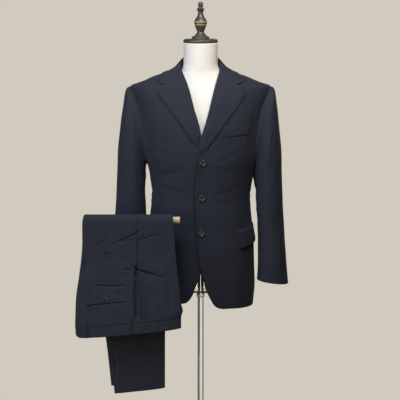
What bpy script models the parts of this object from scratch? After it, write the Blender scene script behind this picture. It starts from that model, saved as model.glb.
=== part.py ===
"""Two-piece suit: a three-button jacket on a limbless dress form, its trousers folded over a rod in front.

Metres, +Z up. The wearer faces -Y, so the wearer's left is at +X. The origin is the middle of the base's
underside, on the pole's axis. Cloth pieces are walls round surfaces that are worked out from the tables
below: a row for each height, station or corner, read by a smooth curve through the rows.
"""

import math
from collections import namedtuple

import bmesh
import bpy
import numpy as np
from mathutils import Matrix, Quaternion, Vector

# Cloth walls and the gaps between pieces.
JACKET_WALL = 0.0015
TROUSER_WALL = 0.0010
WAISTBAND_WALL = 0.0016
LINING_WALL = 0.0010
SEAM_GAP = 0.00035
SHOULDER_GAP, SLEEVE_GAP = 0.0012, 0.0015  # at the middle surfaces: the walls' inner edges come closer
TOUCH_GAP = 0.0003
LAP = 0.0018  # how far each front moves off the common surface where the fronts overlap
LAP_REACH = {"left": (-0.090, -0.045), "right": (-0.055, -0.020)}  # where that starts and is whole
WELD = 1e-6

# The stand.
BASE_RADIUS, BASE_EDGE, BASE_CROWN, BASE_BOSS = 0.170, 0.012, 0.018, 0.040
POLE_RADIUS = 0.0095
COLLAR_LOW, COLLAR_HIGH, COLLAR_RADIUS = 0.7217, 0.7426, 0.0125
CLAMP_LOW, CLAMP_HIGH, CLAMP_RADIUS = 0.816, 0.844, 0.0165
FORM_BOTTOM, NECK_TOP = 0.860, 1.5155
ROD_Y, ROD_Z, ROD_RADIUS, ROD_LEFT, ROD_RIGHT = -0.190, 1.0015, 0.0100, -0.345, -0.061
ARM_RADIUS, ARM_OUT, ARM_LOW, ARM_BEND = 0.004, 0.122, 0.682, 0.030
CAP = [  # radius, height above the neck's top
    (0.0, 0.0185), (0.0250, 0.0185), (0.0262, 0.0170), (0.0265, 0.0115), (0.0480, 0.0107), (0.0518, 0.0090),
    (0.0530, 0.0060), (0.0525, 0.0025), (0.0500, TOUCH_GAP), (0.0, TOUCH_GAP),
]
FINIAL_TOP = 1.6386
FINIAL = [  # radius, depth below its top
    (0.0, 0.0), (0.0045, 0.0008), (0.0074, 0.0045), (0.0078, 0.0100), (0.0070, 0.0180),
    (0.0100, 0.0200), (0.0120, 0.0225), (0.0100, 0.0255), (0.0080, 0.0290), (0.0084, 0.0370),
    (0.0120, 0.0460), (0.0176, 0.0545), (0.0193, 0.0600), (0.0186, 0.0680), (0.0155, 0.0770),
    (0.0118, 0.0860), (0.0106, 0.0910), (0.0125, 0.0950), (0.0168, 0.0990), (0.0172, 0.1031),
    (0.0165, 0.1043), (0.0, 0.1043),
]


class Table:
    """Rows with named columns, the first the key; at() reads the rest by a curve with no overshoot."""

    def __init__(self, columns, rows):
        self.record = namedtuple("Record", columns.split()[1:])
        rows = np.array(rows, float)
        self.keys, self.values = rows[:, 0], rows[:, 1:]
        gaps = np.diff(self.keys)[:, None]
        rises = np.diff(self.values, axis=0) / gaps
        slopes = np.vstack([rises[:1], 0 * rises[1:], rises[-1:]])
        for k in range(1, len(rises)):
            same = rises[k - 1] * rises[k] > 0
            before, after = 2 * gaps[k] + gaps[k - 1], gaps[k] + 2 * gaps[k - 1]
            pair = np.where(same, before * rises[k] + after * rises[k - 1], 1.0)
            slopes[k] = np.where(same, (before + after) * rises[k - 1] * rises[k] / pair, 0.0)
        self.slopes = slopes

    def at(self, key):
        key = min(max(key, self.keys[0]), self.keys[-1])
        k = int(np.clip(np.searchsorted(self.keys, key) - 1, 0, len(self.keys) - 2))
        gap = self.keys[k + 1] - self.keys[k]
        t = (key - self.keys[k]) / gap
        values = (
            (2 * t**3 - 3 * t**2 + 1) * self.values[k]
            + (t**3 - 2 * t**2 + t) * gap * self.slopes[k]
            + (3 * t**2 - 2 * t**3) * self.values[k + 1]
            + (t**3 - t**2) * gap * self.slopes[k + 1]
        )
        return self.record(*values)


# The jacket's body: level sections, half an oval in front and half behind. The top rows are the shoulder
# slope.
BODY = Table(
    "height half_width front back roundness",
    [
        (0.690, 0.163, 0.117, 0.112, 2.35),
        (0.780, 0.168, 0.124, 0.114, 2.35),
        (0.900, 0.165, 0.128, 0.108, 2.35),
        (0.970, 0.158, 0.125, 0.100, 2.35),
        (1.040, 0.153, 0.124, 0.095, 2.35),
        (1.110, 0.162, 0.129, 0.101, 2.30),
        (1.170, 0.175, 0.134, 0.110, 2.30),
        (1.250, 0.184, 0.131, 0.115, 2.25),
        (1.320, 0.196, 0.114, 0.110, 2.20),
        (1.3830, 0.213, 0.0875, 0.0955, 2.10),
        (1.3925, 0.187, 0.0820, 0.0890, 2.08),
        (1.4008, 0.165, 0.0770, 0.0830, 2.05),
        (1.4110, 0.141, 0.0725, 0.0775, 2.02),
        (1.4200, 0.113, 0.0685, 0.0730, 2.00),
        (1.4285, 0.090, 0.0645, 0.0685, 2.00),
        (1.4345, 0.074, 0.0610, 0.0645, 2.00),
        (1.4400, 0.060, 0.0575, 0.0610, 2.00),
    ],
)
FORM = Table(
    "height half_width front back roundness",
    [
        (0.860, 0.146, 0.106, 0.094, 2.30),
        (0.950, 0.146, 0.108, 0.088, 2.30),
        (1.040, 0.139, 0.108, 0.080, 2.30),
        (1.120, 0.148, 0.114, 0.088, 2.30),
        (1.200, 0.160, 0.119, 0.098, 2.25),
        (1.280, 0.166, 0.113, 0.100, 2.20),
        (1.340, 0.170, 0.095, 0.092, 2.15),
        (1.375, 0.162, 0.076, 0.080, 2.10),
        (1.400, 0.122, 0.0600, 0.0650, 2.05),
        (1.418, 0.080, 0.0530, 0.0570, 2.00),
        (1.434, 0.0585, 0.0505, 0.0530, 2.00),
        (1.455, 0.0525, 0.0505, 0.0520, 2.00),
        (NECK_TOP, 0.0520, 0.0505, 0.0515, 2.00),
    ],
)

FORM_HEIGHTS = [
    FORM_BOTTOM, 0.905, 0.950, 0.995, 1.040, 1.085, 1.130, 1.180, 1.230, 1.280, 1.320, 1.350, 1.375, 1.390,
    1.405, 1.420, 1.432, 1.445, 1.460, NECK_TOP,
]
FORM_STEP = 15

# Seams on the body: turn is 0 at the front centre, 90 at the side and 180 at the back.
FRONT_SEAM, BACK_SEAM = 66.0, 118.0
PANEL_ROWS = 22
TIP_HEIGHT, NECK_HEIGHT = 1.3830, 1.4385
FRONT_ARMHOLE = [
    (66, 1.165), (65, 1.21), (65.5, 1.25), (67, 1.295), (71, 1.34), (78, 1.375), (90, TIP_HEIGHT),
]
BACK_ARMHOLE = [
    (118, 1.17), (119, 1.21), (119, 1.26), (117, 1.30), (112, 1.34), (103, 1.373), (90, TIP_HEIGHT),
]
UNDER_ARMHOLE = [
    (66, 1.165), (73, 1.144), (82, 1.133), (90, 1.130), (99, 1.134), (108, 1.145), (118, 1.17),
]
# The centre back seam up from the hem, then the neckline round towards the shoulder.
BACK_MIDDLE = [(180, 1.10), (180, 1.30), (180, 1.428), (155, 1.4290), (118, 1.4335)]
HEM = {  # heights of the hem at the front corner, the side and the back centre
    "left": Table("turn height", [(15, 0.7112), (90, 0.7058), (180, 0.7090)]),
    "right": Table("turn height", [(15, 0.7280), (90, 0.7150), (180, 0.7090)]),
}
# Each front's free edge, from the hem's corner up to where the lapel breaks, then the lapel's roll line.
FRONT_EDGE = {
    "left": [
        (0.0667, 0.7112), (0.0530, 0.7152), (0.0405, 0.7255), (0.0305, 0.7434), (0.0180, 0.7709),
        (0.0082, 0.8075), (0.0005, 0.8360), (-0.0060, 0.8850), (-0.0115, 0.9498), (-0.0150, 1.0564),
        (-0.0057, 1.1640), (-0.0033, 1.1806), (0.0042, 1.2342), (0.0251, 1.3009), (0.0338, 1.3356),
        (0.0419, 1.3653), (0.0492, 1.3948), (0.0554, 1.4184), (0.0610, 1.4340),
    ],
    "right": [
        (0.0599, 0.7280), (0.0500, 0.7292), (0.0394, 0.7349), (0.0299, 0.7473), (0.0219, 0.7633),
        (0.0152, 0.7823), (0.0060, 0.8060), (-0.0040, 0.8350), (-0.0130, 0.8850), (-0.0175, 0.9498),
        (-0.0180, 1.0564), (-0.0180, 1.1640), (-0.0150, 1.1900), (-0.0042, 1.2342), (0.0072, 1.2718),
        (0.0287, 1.3429), (0.0393, 1.3837), (0.0509, 1.4165), (0.0600, 1.4340),
    ],
}
BUTTONS = [(0.0078, 1.1640), (0.0048, 1.0564), (0.0030, 0.9492)]
BUTTON_RADIUS, BUTTON_THICK, BUTTON_SHANK = 0.0100, 0.0034, 0.0009

# Each lapel: x from the centre line and height along its roll line and its outer edge, from the break up.
LAPEL = {
    "left": Table(
        "up roll_x roll_z edge_x edge_z",
        [
            (0.00, -0.0035, 1.1900, 0.0030, 1.1868),
            (0.12, 0.0003, 1.2150, 0.0260, 1.2150),
            (0.25, 0.0066, 1.2430, 0.0470, 1.2400),
            (0.45, 0.0205, 1.2860, 0.0807, 1.2861),
            (0.65, 0.0330, 1.3325, 0.1110, 1.3280),
            (0.85, 0.0470, 1.3865, 0.1275, 1.3550),
            (1.00, 0.0605, 1.4318, 0.1350, 1.3690),
        ],
    ),
    "right": Table(
        "up roll_x roll_z edge_x edge_z",
        [
            (0.00, -0.0004, 1.2430, 0.0105, 1.2120),
            (0.25, 0.0072, 1.2718, 0.0390, 1.2510),
            (0.50, 0.0222, 1.3200, 0.0760, 1.3010),
            (0.80, 0.0393, 1.3820, 0.1190, 1.3555),
            (1.00, 0.0595, 1.4318, 0.1325, 1.3700),
        ],
    ),
}
# Across a lapel, from the rolled edge outwards.
LAPEL_SECTION = [  # share of the width, step past it, lift
    (0.0, -0.0040, 0.0004),
    (0.0, -0.0030, 0.0030),
    (0.0, 0.0006, 0.0044),
    (0.2, 0.0, 0.0052),
    (0.5, 0.0, 0.0042),
    (0.8, 0.0, 0.0034),
    (1.0, 0.0, 0.0030),
]
# Half the collar, from the back centre to the shoulder's front: the stand's foot, the fold, two lines of the
# leaf and its edge, an x, y and height for each. Its end lies on the front: the gorge from the roll line out,
# then the corner past the notch.
COLLAR_COLUMNS = (
    "along foot_x foot_y foot_z fold_x fold_y fold_z high_x high_y high_z low_x low_y low_z"
    " edge_x edge_y edge_z"
)
COLLAR_ROWS = [
    (0.00, 0, 0.0580, 1.4420, 0, 0.0640, 1.4745, 0, 0.0700, 1.4590, 0, 0.0725, 1.4430,
     0, 0.0740, 1.4265),
    (0.28, 0.0400, 0.0425, 1.4420, 0.0430, 0.0475, 1.4715, 0.0500, 0.0530, 1.4560, 0.0580, 0.0560, 1.4400,
     0.0680, 0.0575, 1.4240),
    (0.55, 0.0580, 0.0040, 1.4430, 0.0603, 0.0030, 1.4615, 0.0750, 0.0030, 1.4450, 0.0920, 0.0020, 1.4340,
     0.1125, 0.0010, 1.4238),
    (0.80, 0.0600, -0.0160, 1.4400, 0.0640, -0.0160, 1.4500, 0.0830, -0.0230, 1.4370, 0.1010, -0.0310, 1.4260,
     0.1210, -0.0340, 1.4158),
]
COLLAR_END = [  # x, height, lift
    (0.0575, 1.4356, 0.0010), (0.0605, 1.4360, 0.0042), (0.0790, 1.4196, 0.0050), (0.1100, 1.3926, 0.0040),
    (0.1280, 1.3995, 0.0040),
]
COLLAR_CLEAR = 0.0032
FOLD_ROUND = 0.0016

# Pocket flap and breast welt, in turn and height on the body.
FLAP_TURNS, FLAP_TOP, FLAP_BOTTOM, FLAP_RISE, FLAP_ROUND = (47.0, 99.0), 0.9500, 0.8930, 0.0120, 0.0110
FLAP_TOP_RISE, FLAP_ROUND_SHARE, FLAP_STAND = 0.0048, 0.16, 0.0020
WELT_CORNERS = {"low": ((0.0705, 1.2415), (0.1400, 1.2465)), "high": ((0.0705, 1.2705), (0.1480, 1.2755))}
PATCH_LIFT, FLAP_DRAFT = 0.0026, 5.5
LINING_HEIGHTS, LINING_TURN, LINING_DEPTH = (0.726, 0.780, 0.850, 0.920, 0.980), 122, 0.0030

# Sleeves: the outer and the inner line of each, how far the section's middle lies from y = 0, its half depth,
# and how much of the armhole's own shape is left in it.
SLEEVE = Table(
    "down outer_x outer_z inner_x inner_z middle half_depth armhole swing",
    [
        (0.00, 0.2150, 1.3820, 0.1720, 1.1290, 0.000, 0.063, 1.00, 0.000),
        (0.03, 0.2200, 1.3780, 0.1750, 1.1285, 0.000, 0.067, 0.40, 0.000),
        (0.07, 0.2270, 1.3680, 0.1770, 1.1210, -0.002, 0.072, 0.12, 0.001),
        (0.14, 0.2345, 1.3340, 0.1755, 1.1020, -0.004, 0.077, 0.00, 0.003),
        (0.24, 0.2405, 1.2700, 0.1725, 1.0760, -0.006, 0.077, 0.00, 0.005),
        (0.36, 0.2480, 1.1850, 0.1725, 1.0450, -0.008, 0.073, 0.00, 0.006),
        (0.48, 0.2510, 1.0900, 0.1755, 1.0050, -0.010, 0.068, 0.00, 0.007),
        (0.60, 0.2540, 1.0100, 0.1775, 0.9600, -0.013, 0.063, 0.00, 0.008),
        (0.74, 0.2595, 0.9200, 0.1785, 0.9000, -0.019, 0.057, 0.00, 0.008),
        (0.88, 0.2660, 0.8400, 0.1780, 0.8420, -0.026, 0.050, 0.00, 0.007),
        (1.00, 0.2710, 0.7760, 0.1755, 0.7880, -0.032, 0.043, 0.00, 0.006),
    ],
)
SLEEVE_FRONT_SEAM = 128.0
ARMHOLE_MIDDLE, ARMHOLE_INSET, ARMHOLE_TUCK, ARMHOLE_POINTS = 1.2575, 0.0043, 0.0019, 48
SLEEVE_ROUNDNESS, INNER_SWING = 2.15, 0.3
SLEEVE_STATIONS = [0, 0.03, 0.065, 0.10, 0.15, 0.21, 0.28, 0.36, 0.45, 0.54, 0.64, 0.75, 0.87, 1.0]
SLEEVE_COLUMNS = {"top": 14, "under": 13}
SLEEVE_LENGTH, CUFF_BUTTON_TURN, SMALL_BUTTON_THICK = 0.61, 24.0, 0.0028
SLEEVE_BACK_SEAM = Table("down angle", [(0.0, 243.0), (0.5, 254.0), (1.0, 312.0)])
CUFF_BUTTONS, CUFF_FIRST, CUFF_STEP, CUFF_BUTTON_RADIUS = 3, 0.0360, 0.0155, 0.0070

# Trousers. The way along them starts at the waist edge in front of the rod, goes up, over it and down to the
# hem. The seam, the crease on its left and the one on its right are x values.
FRONT_RUN = 0.3515
TURN_RUN = math.pi * 0.0138
LEGS = Table(
    "along left right seam open puff part left_shift",
    [
        (0.000, -0.3690, -0.0575, -0.1760, 1.00, 0.0000, 0.0002, 0.000),
        (0.050, -0.3734, -0.0580, -0.1780, 0.86, 0.0000, 0.0002, 0.000),
        (0.107, -0.3717, -0.0600, -0.1820, 0.60, 0.0000, 0.0002, 0.000),
        (0.185, -0.3611, -0.0690, -0.1880, 0.25, 0.0000, 0.0002, 0.000),
        (0.250, -0.3530, -0.0750, -0.1890, 0.05, 0.0000, 0.0016, 0.000),
        (0.290, -0.3505, -0.0780, -0.1890, 0.00, 0.0000, 0.0016, 0.000),
        (0.3515, -0.3505, -0.0820, -0.1890, 0.00, 0.0000, 0.0016, 0.000),
        (0.395, -0.3505, -0.0840, -0.1980, 0.00, 0.0000, 0.0016, 0.000),
        (0.520, -0.3220, -0.0960, -0.2030, 0.00, 0.0000, 0.0016, 0.002),
        (0.620, -0.3020, -0.1030, -0.1980, 0.00, 0.0015, 0.0016, 0.006),
        (0.760, -0.2785, -0.1075, -0.1930, 0.00, 0.0045, 0.0016, 0.008),
        (0.930, -0.2605, -0.1085, -0.1845, 0.00, 0.0065, 0.0016, 0.009),
    ],
)
STACK_MIDDLE, STACK_HALF = 0.0138, 0.0024
TRUNK_SHIFT, TRUNK_BULGE = 0.012, {"left": 0.030, "right": 0.013}
WAIST_SLOPE, WAIST_CORNER, HEM_SLOPE, WAISTBAND = 0.0295, 0.0100, 0.0175, 0.0320
WAIST_CORNER_SHARE, WAIST_SLOPE_END, HEM_SLOPE_START = 0.05, 0.30, 0.60
CREASE_ROUND, INSEAM_OPENS = 0.0012, 8
HEM_AT = {"left": 0.910, "right": 0.930}
TRUNK_ROWS = [0.0320, 0.080, 0.135, 0.190, 0.225, 0.262, 0.300]
LEG_ROWS = [0.460, 0.560, 0.660, 0.760, 0.850]
CROTCH_ROW, INSEAM_LENGTH = 5, 0.055
LOOPS = [-0.3440, -0.2115]
LOOP_WIDTH, LOOP_LENGTH, LOOP_LIFT = 0.0100, 0.0420, 0.0026
BACK_POCKET_X, BACK_POCKET_Z, BACK_POCKET_HEIGHT = (-0.3370, -0.2270), (0.7480, 0.7600), 0.0100
BACK_BUTTON, BACK_BUTTON_RADIUS = (-0.2805, 0.7740), 0.0072
SIDE_POCKET = [(-0.1845, 0.8550), (-0.1745, 0.8000), (-0.1695, 0.7450), (-0.1675, 0.7200)]
SIDE_POCKET_WIDTH, TRIM_LIFT = 0.0065, 0.0017

SUIT = bpy.data.collections.new("two_piece_suit")


def clear_scene():
    for thing in list(bpy.data.objects):
        bpy.data.objects.remove(thing, do_unlink=True)
    bpy.context.scene.collection.children.link(SUIT)


def material(name, colour, roughness, metallic=0.0):
    made = bpy.data.materials.new(name)
    made.use_nodes = True
    shader = made.node_tree.nodes["Principled BSDF"]
    shader.inputs["Base Color"].default_value = (*colour, 1.0)
    shader.inputs["Roughness"].default_value = roughness
    shader.inputs["Metallic"].default_value = metallic
    return made


def wool(name):
    return material(name + "_wool", (0.021, 0.025, 0.036), 0.85)


def horn(name):
    return material(name + "_horn", (0.012, 0.012, 0.014), 0.25)


def add(name, mesh, look):
    """The mesh as one named object of the suit's collection."""
    mesh.materials.append(look)
    made = bpy.data.objects.new(name, mesh)
    SUIT.objects.link(made)
    return made


def sheet(name, patches, wall, look=None):
    """A cloth wall round the surface through the patches, whose shared edges have the same points."""
    shape = bmesh.new()
    for grid in patches:
        rows = [[shape.verts.new(point) for point in row] for row in grid]
        for near, far in zip(rows, rows[1:]):
            for corner in range(len(near) - 1):
                shape.faces.new((near[corner], near[corner + 1], far[corner + 1], far[corner]))
    bmesh.ops.remove_doubles(shape, verts=shape.verts, dist=WELD)
    mesh = bpy.data.meshes.new(name)
    shape.to_mesh(mesh)
    shape.free()
    mesh.shade_smooth()
    made = add(name, mesh, look or wool(name))
    solid = made.modifiers.new("wall", "SOLIDIFY")
    solid.thickness = wall
    solid.offset = 0.0
    return made


def turned(name, profile, look, steps=20, ring=False):
    """A solid turned about the pole's axis from (radius, height) points, down the outer side."""
    mesh = bpy.data.meshes.new(name)
    points = [(radius, 0.0, height) for radius, height in profile]
    edges = [(k, k + 1) for k in range(len(points) - 1)]
    if ring:
        edges.append((len(points) - 1, 0))
    mesh.from_pydata(points, edges, [])
    made = add(name, mesh, look)
    screw = made.modifiers.new("turn", "SCREW")
    screw.steps = screw.render_steps = steps
    screw.use_merge_vertices = True
    screw.merge_threshold = 1e-5
    screw.use_smooth_shade = True
    return made


def ring(name, inside, outside, low, high, edge, look):
    """A ring about the pole, its outer edges taken off."""
    profile = [
        (inside, high), (outside - edge, high), (outside, high - edge),
        (outside, low + edge), (outside - edge, low), (inside, low),
    ]
    return turned(name, profile, look, ring=True)


def tube(name, route, radius, look, bends=3):
    """A round bar along a route of points, its ends closed."""
    curve = bpy.data.curves.new(name, "CURVE")
    curve.dimensions = "3D"
    curve.bevel_depth = radius
    curve.bevel_resolution = bends
    curve.use_fill_caps = True
    spline = curve.splines.new("POLY")
    spline.points.add(len(route) - 1)
    for point, place in zip(spline.points, route):
        point.co = (*place, 1.0)
    curve.materials.append(look)
    made = bpy.data.objects.new(name, curve)
    SUIT.objects.link(made)
    return made


def rounded(corners, radius, steps=4):
    """A route through the corners, each but the first and last bent to an arc."""
    corners = [Vector(corner) for corner in corners]
    route = [corners[0]]
    for before, corner, after in zip(corners, corners[1:], corners[2:]):
        back, on = (before - corner).normalized(), (after - corner).normalized()
        half = back.angle(on) / 2
        reach = radius / math.tan(half)
        centre = corner + (back + on).normalized() * radius / math.sin(half)
        start, end = corner + back * reach - centre, corner + on * reach - centre
        bend = start.rotation_difference(end)
        route += [centre + Quaternion(bend.axis, bend.angle * k / steps) @ start for k in range(steps + 1)]
    return route + [corners[-1]]


def button(name, place, facing, radius, thick, look):
    """A button: a turned disc with a rim round a shallow dish, laid at the place and facing that way."""
    rim, dish = 0.22 * radius, 0.25 * thick
    profile = [
        (0.0, thick / 2 - dish), (radius - 1.6 * rim, thick / 2 - dish), (radius - 0.7 * rim, thick / 2),
        (radius, thick / 6), (radius - 0.4 * rim, -thick / 2), (0.0, -thick / 2),
    ]
    made = turned(name, profile, look, steps=14)
    turn = Vector((0, 0, 1)).rotation_difference(facing)
    made.matrix_world = Matrix.Translation(place) @ turn.to_matrix().to_4x4()
    return made


# ---- the jacket's body -------------------------------------------------------------------------------------


def section_point(table, turn, height):
    """A point of a body's level section: turn is signed, positive towards the wearer's left."""
    row = table.at(height)
    across, ahead = math.sin(math.radians(turn)), math.cos(math.radians(turn))
    power = 2 / row.roundness
    x = math.copysign(row.half_width * abs(across) ** power, across)
    y = math.copysign((row.front if ahead > 0 else row.back) * abs(ahead) ** power, -ahead)
    return Vector((x, y, height))


def body_normal(turn, height):
    """The body's outward direction there, from its two tangents."""
    step = 0.4
    low, high = max(height - 0.0015, BODY.keys[0]), min(height + 0.0015, BODY.keys[-1])
    round_it = section_point(BODY, turn + step, height) - section_point(BODY, turn - step, height)
    up = section_point(BODY, turn, high) - section_point(BODY, turn, low)
    return round_it.cross(up).normalized()


def body_point(turn, height, lift=0.0):
    return section_point(BODY, turn, height) + body_normal(turn, height) * lift


def turn_at(x, height):
    """The turn of the front's point with this x."""
    row = BODY.at(height)
    share = min(abs(x) / row.half_width, 1.0) ** (row.roundness / 2)
    return math.copysign(math.degrees(math.asin(share)), x)


def ramp(value, start, end):
    """0 before start, 1 past end, smooth between."""
    t = min(max((value - start) / (end - start), 0.0), 1.0)
    return t * t * (3 - 2 * t)


def front_point(side, turn, height, lift=0.0):
    """A point of one front; the left front lies over the right one where they overlap."""
    x = section_point(BODY, turn, height).x
    lap = mirror(side) * LAP * ramp(-mirror(side) * x, *LAP_REACH[side])
    return body_point(turn, height, lap + lift)


def back_point(side, turn, height):
    return body_point(turn, height)


def on_front(side, x, height, lift=0.0):
    """The same by x from the centre line, which is counted towards that front's own side."""
    return front_point(side, turn_at(mirror(side) * x, height), height, lift)


def mirror(side):
    return 1 if side == "left" else -1


def spread(points, count, place):
    """The (turn, height) points resampled to this many, evenly by length on the body."""
    points = np.array(points, float)
    fine = np.vstack([
        np.column_stack([np.linspace(a[k], b[k], 9)[:-1] for k in (0, 1)]) for a, b in zip(points, points[1:])
    ] + [points[-1:]])
    places = np.array([place(*point) for point in fine])
    run = np.concatenate([[0.0], np.cumsum(np.linalg.norm(np.diff(places, axis=0), axis=1))])
    wanted = np.linspace(0, run[-1], count)
    return [(np.interp(w, run, fine[:, 0]), np.interp(w, run, fine[:, 1])) for w in wanted]


def inset(row, gap):
    """The row of points with its two ends moved inwards by the gap."""
    for here, inward in ((0, 1), (-1, -2)):
        row[here] = row[here] + (row[inward] - row[here]).normalized() * gap
    return row


def panel(side, inner, outer, across, up, point, gap=SEAM_GAP / 2):
    """The grid of a body panel between two curves of (turn, height), a little inside its seams."""
    grid = []
    for start, end in zip(spread(inner, up, body_point), spread(outer, up, body_point)):
        row = []
        for share in np.linspace(0, 1, across):
            turn = start[0] + (end[0] - start[0]) * share
            height = start[1] + (end[1] - start[1]) * share
            row.append(point(side, mirror(side) * turn, height))
        grid.append(inset(row, gap))
    for near, far, seam in ((0, 1, gap), (-1, -2, SHOULDER_GAP / 2)):
        for k in range(across):
            grid[near][k] = grid[near][k] + (grid[far][k] - grid[near][k]).normalized() * seam
    return grid


def hem_height(side, turn):
    return HEM[side].at(abs(turn)).height


def front_outline(side):
    """The front's free edge, roll line and neckline, as (turn, height) on its own side."""
    edge = [(turn_at(x, height), height) for x, height in FRONT_EDGE[side]]
    last = edge[-1]
    return edge + [((last[0] + 90) / 2, (last[1] + NECK_HEIGHT) / 2), (90, NECK_HEIGHT)]


def make_body():
    for side in ("left", "right"):
        seam = (FRONT_SEAM, hem_height(side, FRONT_SEAM))
        grid = panel(side, front_outline(side), [seam] + FRONT_ARMHOLE, 7, PANEL_ROWS, front_point)
        sheet(f"jacket_front_{side}", [grid], JACKET_WALL)

        bottom = [(turn, hem_height(side, turn)) for turn, _ in UNDER_ARMHOLE]
        columns = [panel_column(side, low, high, 10) for low, high in zip(bottom, UNDER_ARMHOLE)]
        sheet(f"jacket_side_{side}", [[inset(list(row), SEAM_GAP / 2) for row in zip(*columns)]], JACKET_WALL)

        inner = [(180, hem_height(side, 180))] + BACK_MIDDLE + [(90, NECK_HEIGHT)]
        outer = [(BACK_SEAM, hem_height(side, BACK_SEAM))] + BACK_ARMHOLE
        sheet(f"jacket_back_{side}", [panel(side, inner, outer, 7, PANEL_ROWS, back_point)], JACKET_WALL)


def panel_column(side, low, high, count):
    """A column of body points from the hem up to the armhole."""
    shares = np.linspace(0, 1, count)
    return [
        body_point(mirror(side) * (low[0] + (high[0] - low[0]) * s), low[1] + (high[1] - low[1]) * s)
        for s in shares
    ]


def make_lining():
    """The back's lining, which shows between the parted fronts at the hem."""
    rows = []
    for height in LINING_HEIGHTS:
        turns = np.linspace(LINING_TURN, 360 - LINING_TURN, 13)
        rows.append([body_point(turn, height, -LINING_DEPTH) for turn in turns])
    sheet("jacket_back_lining", [rows], LINING_WALL, material("lining", (0.55, 0.50, 0.42), 0.5))


def make_lapels():
    for side in ("left", "right"):
        grid = []
        for up in np.linspace(0, 1, 14):
            row = LAPEL[side].at(up)
            width = math.dist((row.roll_x, row.roll_z), (row.edge_x, row.edge_z))
            line = []
            for share, step, lift in LAPEL_SECTION:
                share += step / width
                share = max(share, step / 0.02) if step > 0 else share
                x = row.roll_x + (row.edge_x - row.roll_x) * share
                z = row.roll_z + (row.edge_z - row.roll_z) * share
                line.append(on_front(side, x, z, lift))
            grid.append(line)
        sheet(f"jacket_lapel_{side}", [grid], JACKET_WALL)


def clear_of_body(point, clearance):
    """The point, moved out along the body's normal if it is nearer to the body than that."""
    if point.z > BODY.keys[-1]:
        return point
    row = BODY.at(point.z)
    across, ahead = point.x / row.half_width, -point.y / (row.front if point.y < 0 else row.back)
    size = (abs(across) ** row.roundness + abs(ahead) ** row.roundness) ** (1 / row.roundness)
    half = row.roundness / 2
    across_share, ahead_share = abs(across / size) ** half, abs(ahead / size) ** half
    turn = math.degrees(math.atan2(across_share, math.copysign(ahead_share, ahead)))
    turn = math.copysign(turn, across)
    normal = body_normal(turn, point.z)
    off = (point - section_point(BODY, turn, point.z)).dot(normal)
    return point + normal * max(0.0, clearance - off)


def make_collar():
    """One folded strip from notch to notch: up the stand, over the fold and down the leaf."""
    end = [1.0] + [value for x, height, lift in COLLAR_END for value in on_front("left", x, height, lift)]
    collar = Table(COLLAR_COLUMNS, COLLAR_ROWS + [end])
    grid = []
    for along in np.linspace(-1, 1, 25):
        row = collar.at(abs(along))
        flip = math.copysign(1, along)
        foot, fold, high, low, edge = (
            Vector((flip * row[k], row[k + 1], row[k + 2])) for k in range(0, 15, 3)
        )
        out = Vector((edge.x - foot.x, edge.y - foot.y, 0)).normalized()
        inside = fold - out * FOLD_ROUND - Vector((0, 0, 1.4 * FOLD_ROUND))
        over = fold.lerp(high, 0.3) + Vector((0, 0, 0.7 * FOLD_ROUND))
        leaf = [clear_of_body(point, COLLAR_CLEAR) for point in (over, high, low, edge)]
        grid.append([foot, inside, fold, *leaf])
    sheet("jacket_collar", [grid], JACKET_WALL)


def make_pockets():
    for side in ("left", "right"):
        grid = []
        for down in np.linspace(0, 1, 5):
            row = []
            for share in np.linspace(0, 1, 8):
                turn = FLAP_TURNS[0] + (FLAP_TURNS[1] - FLAP_TURNS[0]) * share
                turn += FLAP_DRAFT * down * (1 - share)
                corner = FLAP_ROUND * max(0.0, 1 - share / FLAP_ROUND_SHARE) ** 2
                low = FLAP_BOTTOM + FLAP_RISE * share + corner
                height = FLAP_TOP + FLAP_TOP_RISE * share
                height += (low - height) * down
                row.append(body_point(mirror(side) * turn, height, PATCH_LIFT + FLAP_STAND * down))
            grid.append(row)
        sheet(f"jacket_pocket_flap_{side}", [grid], JACKET_WALL)
    grid = []
    for up in (0.0, 0.5, 1.0):
        row = []
        for share in np.linspace(0, 1, 5):
            ends = [
                np.array(WELT_CORNERS["low"][k]) * (1 - up) + np.array(WELT_CORNERS["high"][k]) * up
                for k in (0, 1)
            ]
            x, height = ends[0] + (ends[1] - ends[0]) * share
            row.append(on_front("left", x, height, PATCH_LIFT))
        grid.append(row)
    sheet("jacket_breast_welt", [grid], JACKET_WALL)


def make_buttons():
    for number, (x, height) in enumerate(BUTTONS, 1):
        name = f"jacket_button_{number}"
        place = on_front("left", x, height, JACKET_WALL / 2 + BUTTON_SHANK + BUTTON_THICK / 2)
        facing = body_normal(turn_at(x, height), height)
        button(name, place, facing, BUTTON_RADIUS, BUTTON_THICK, horn(name))


# ---- sleeves -----------------------------------------------------------------------------------------------


def armhole_loop(count):
    """Points just inside the left armhole's opening, from the shoulder tip round by way of the front."""
    quarters = [
        FRONT_ARMHOLE[2:][::-1],
        FRONT_ARMHOLE[:3][::-1] + UNDER_ARMHOLE[1:4],
        UNDER_ARMHOLE[3:-1] + BACK_ARMHOLE[:3],
        BACK_ARMHOLE[2:],
    ]
    places = []
    for quarter in quarters:
        places += spread(quarter, count // 4 + 1, body_point)[:-1]
    inner = []
    for place in places:
        point = body_point(*place)
        centre = Vector((point.x, 0.0, ARMHOLE_MIDDLE))
        inward = (centre - point).normalized() * ARMHOLE_INSET
        inner.append(point + inward - body_normal(*place) * ARMHOLE_TUCK)
    return inner


LOOP = []


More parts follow.
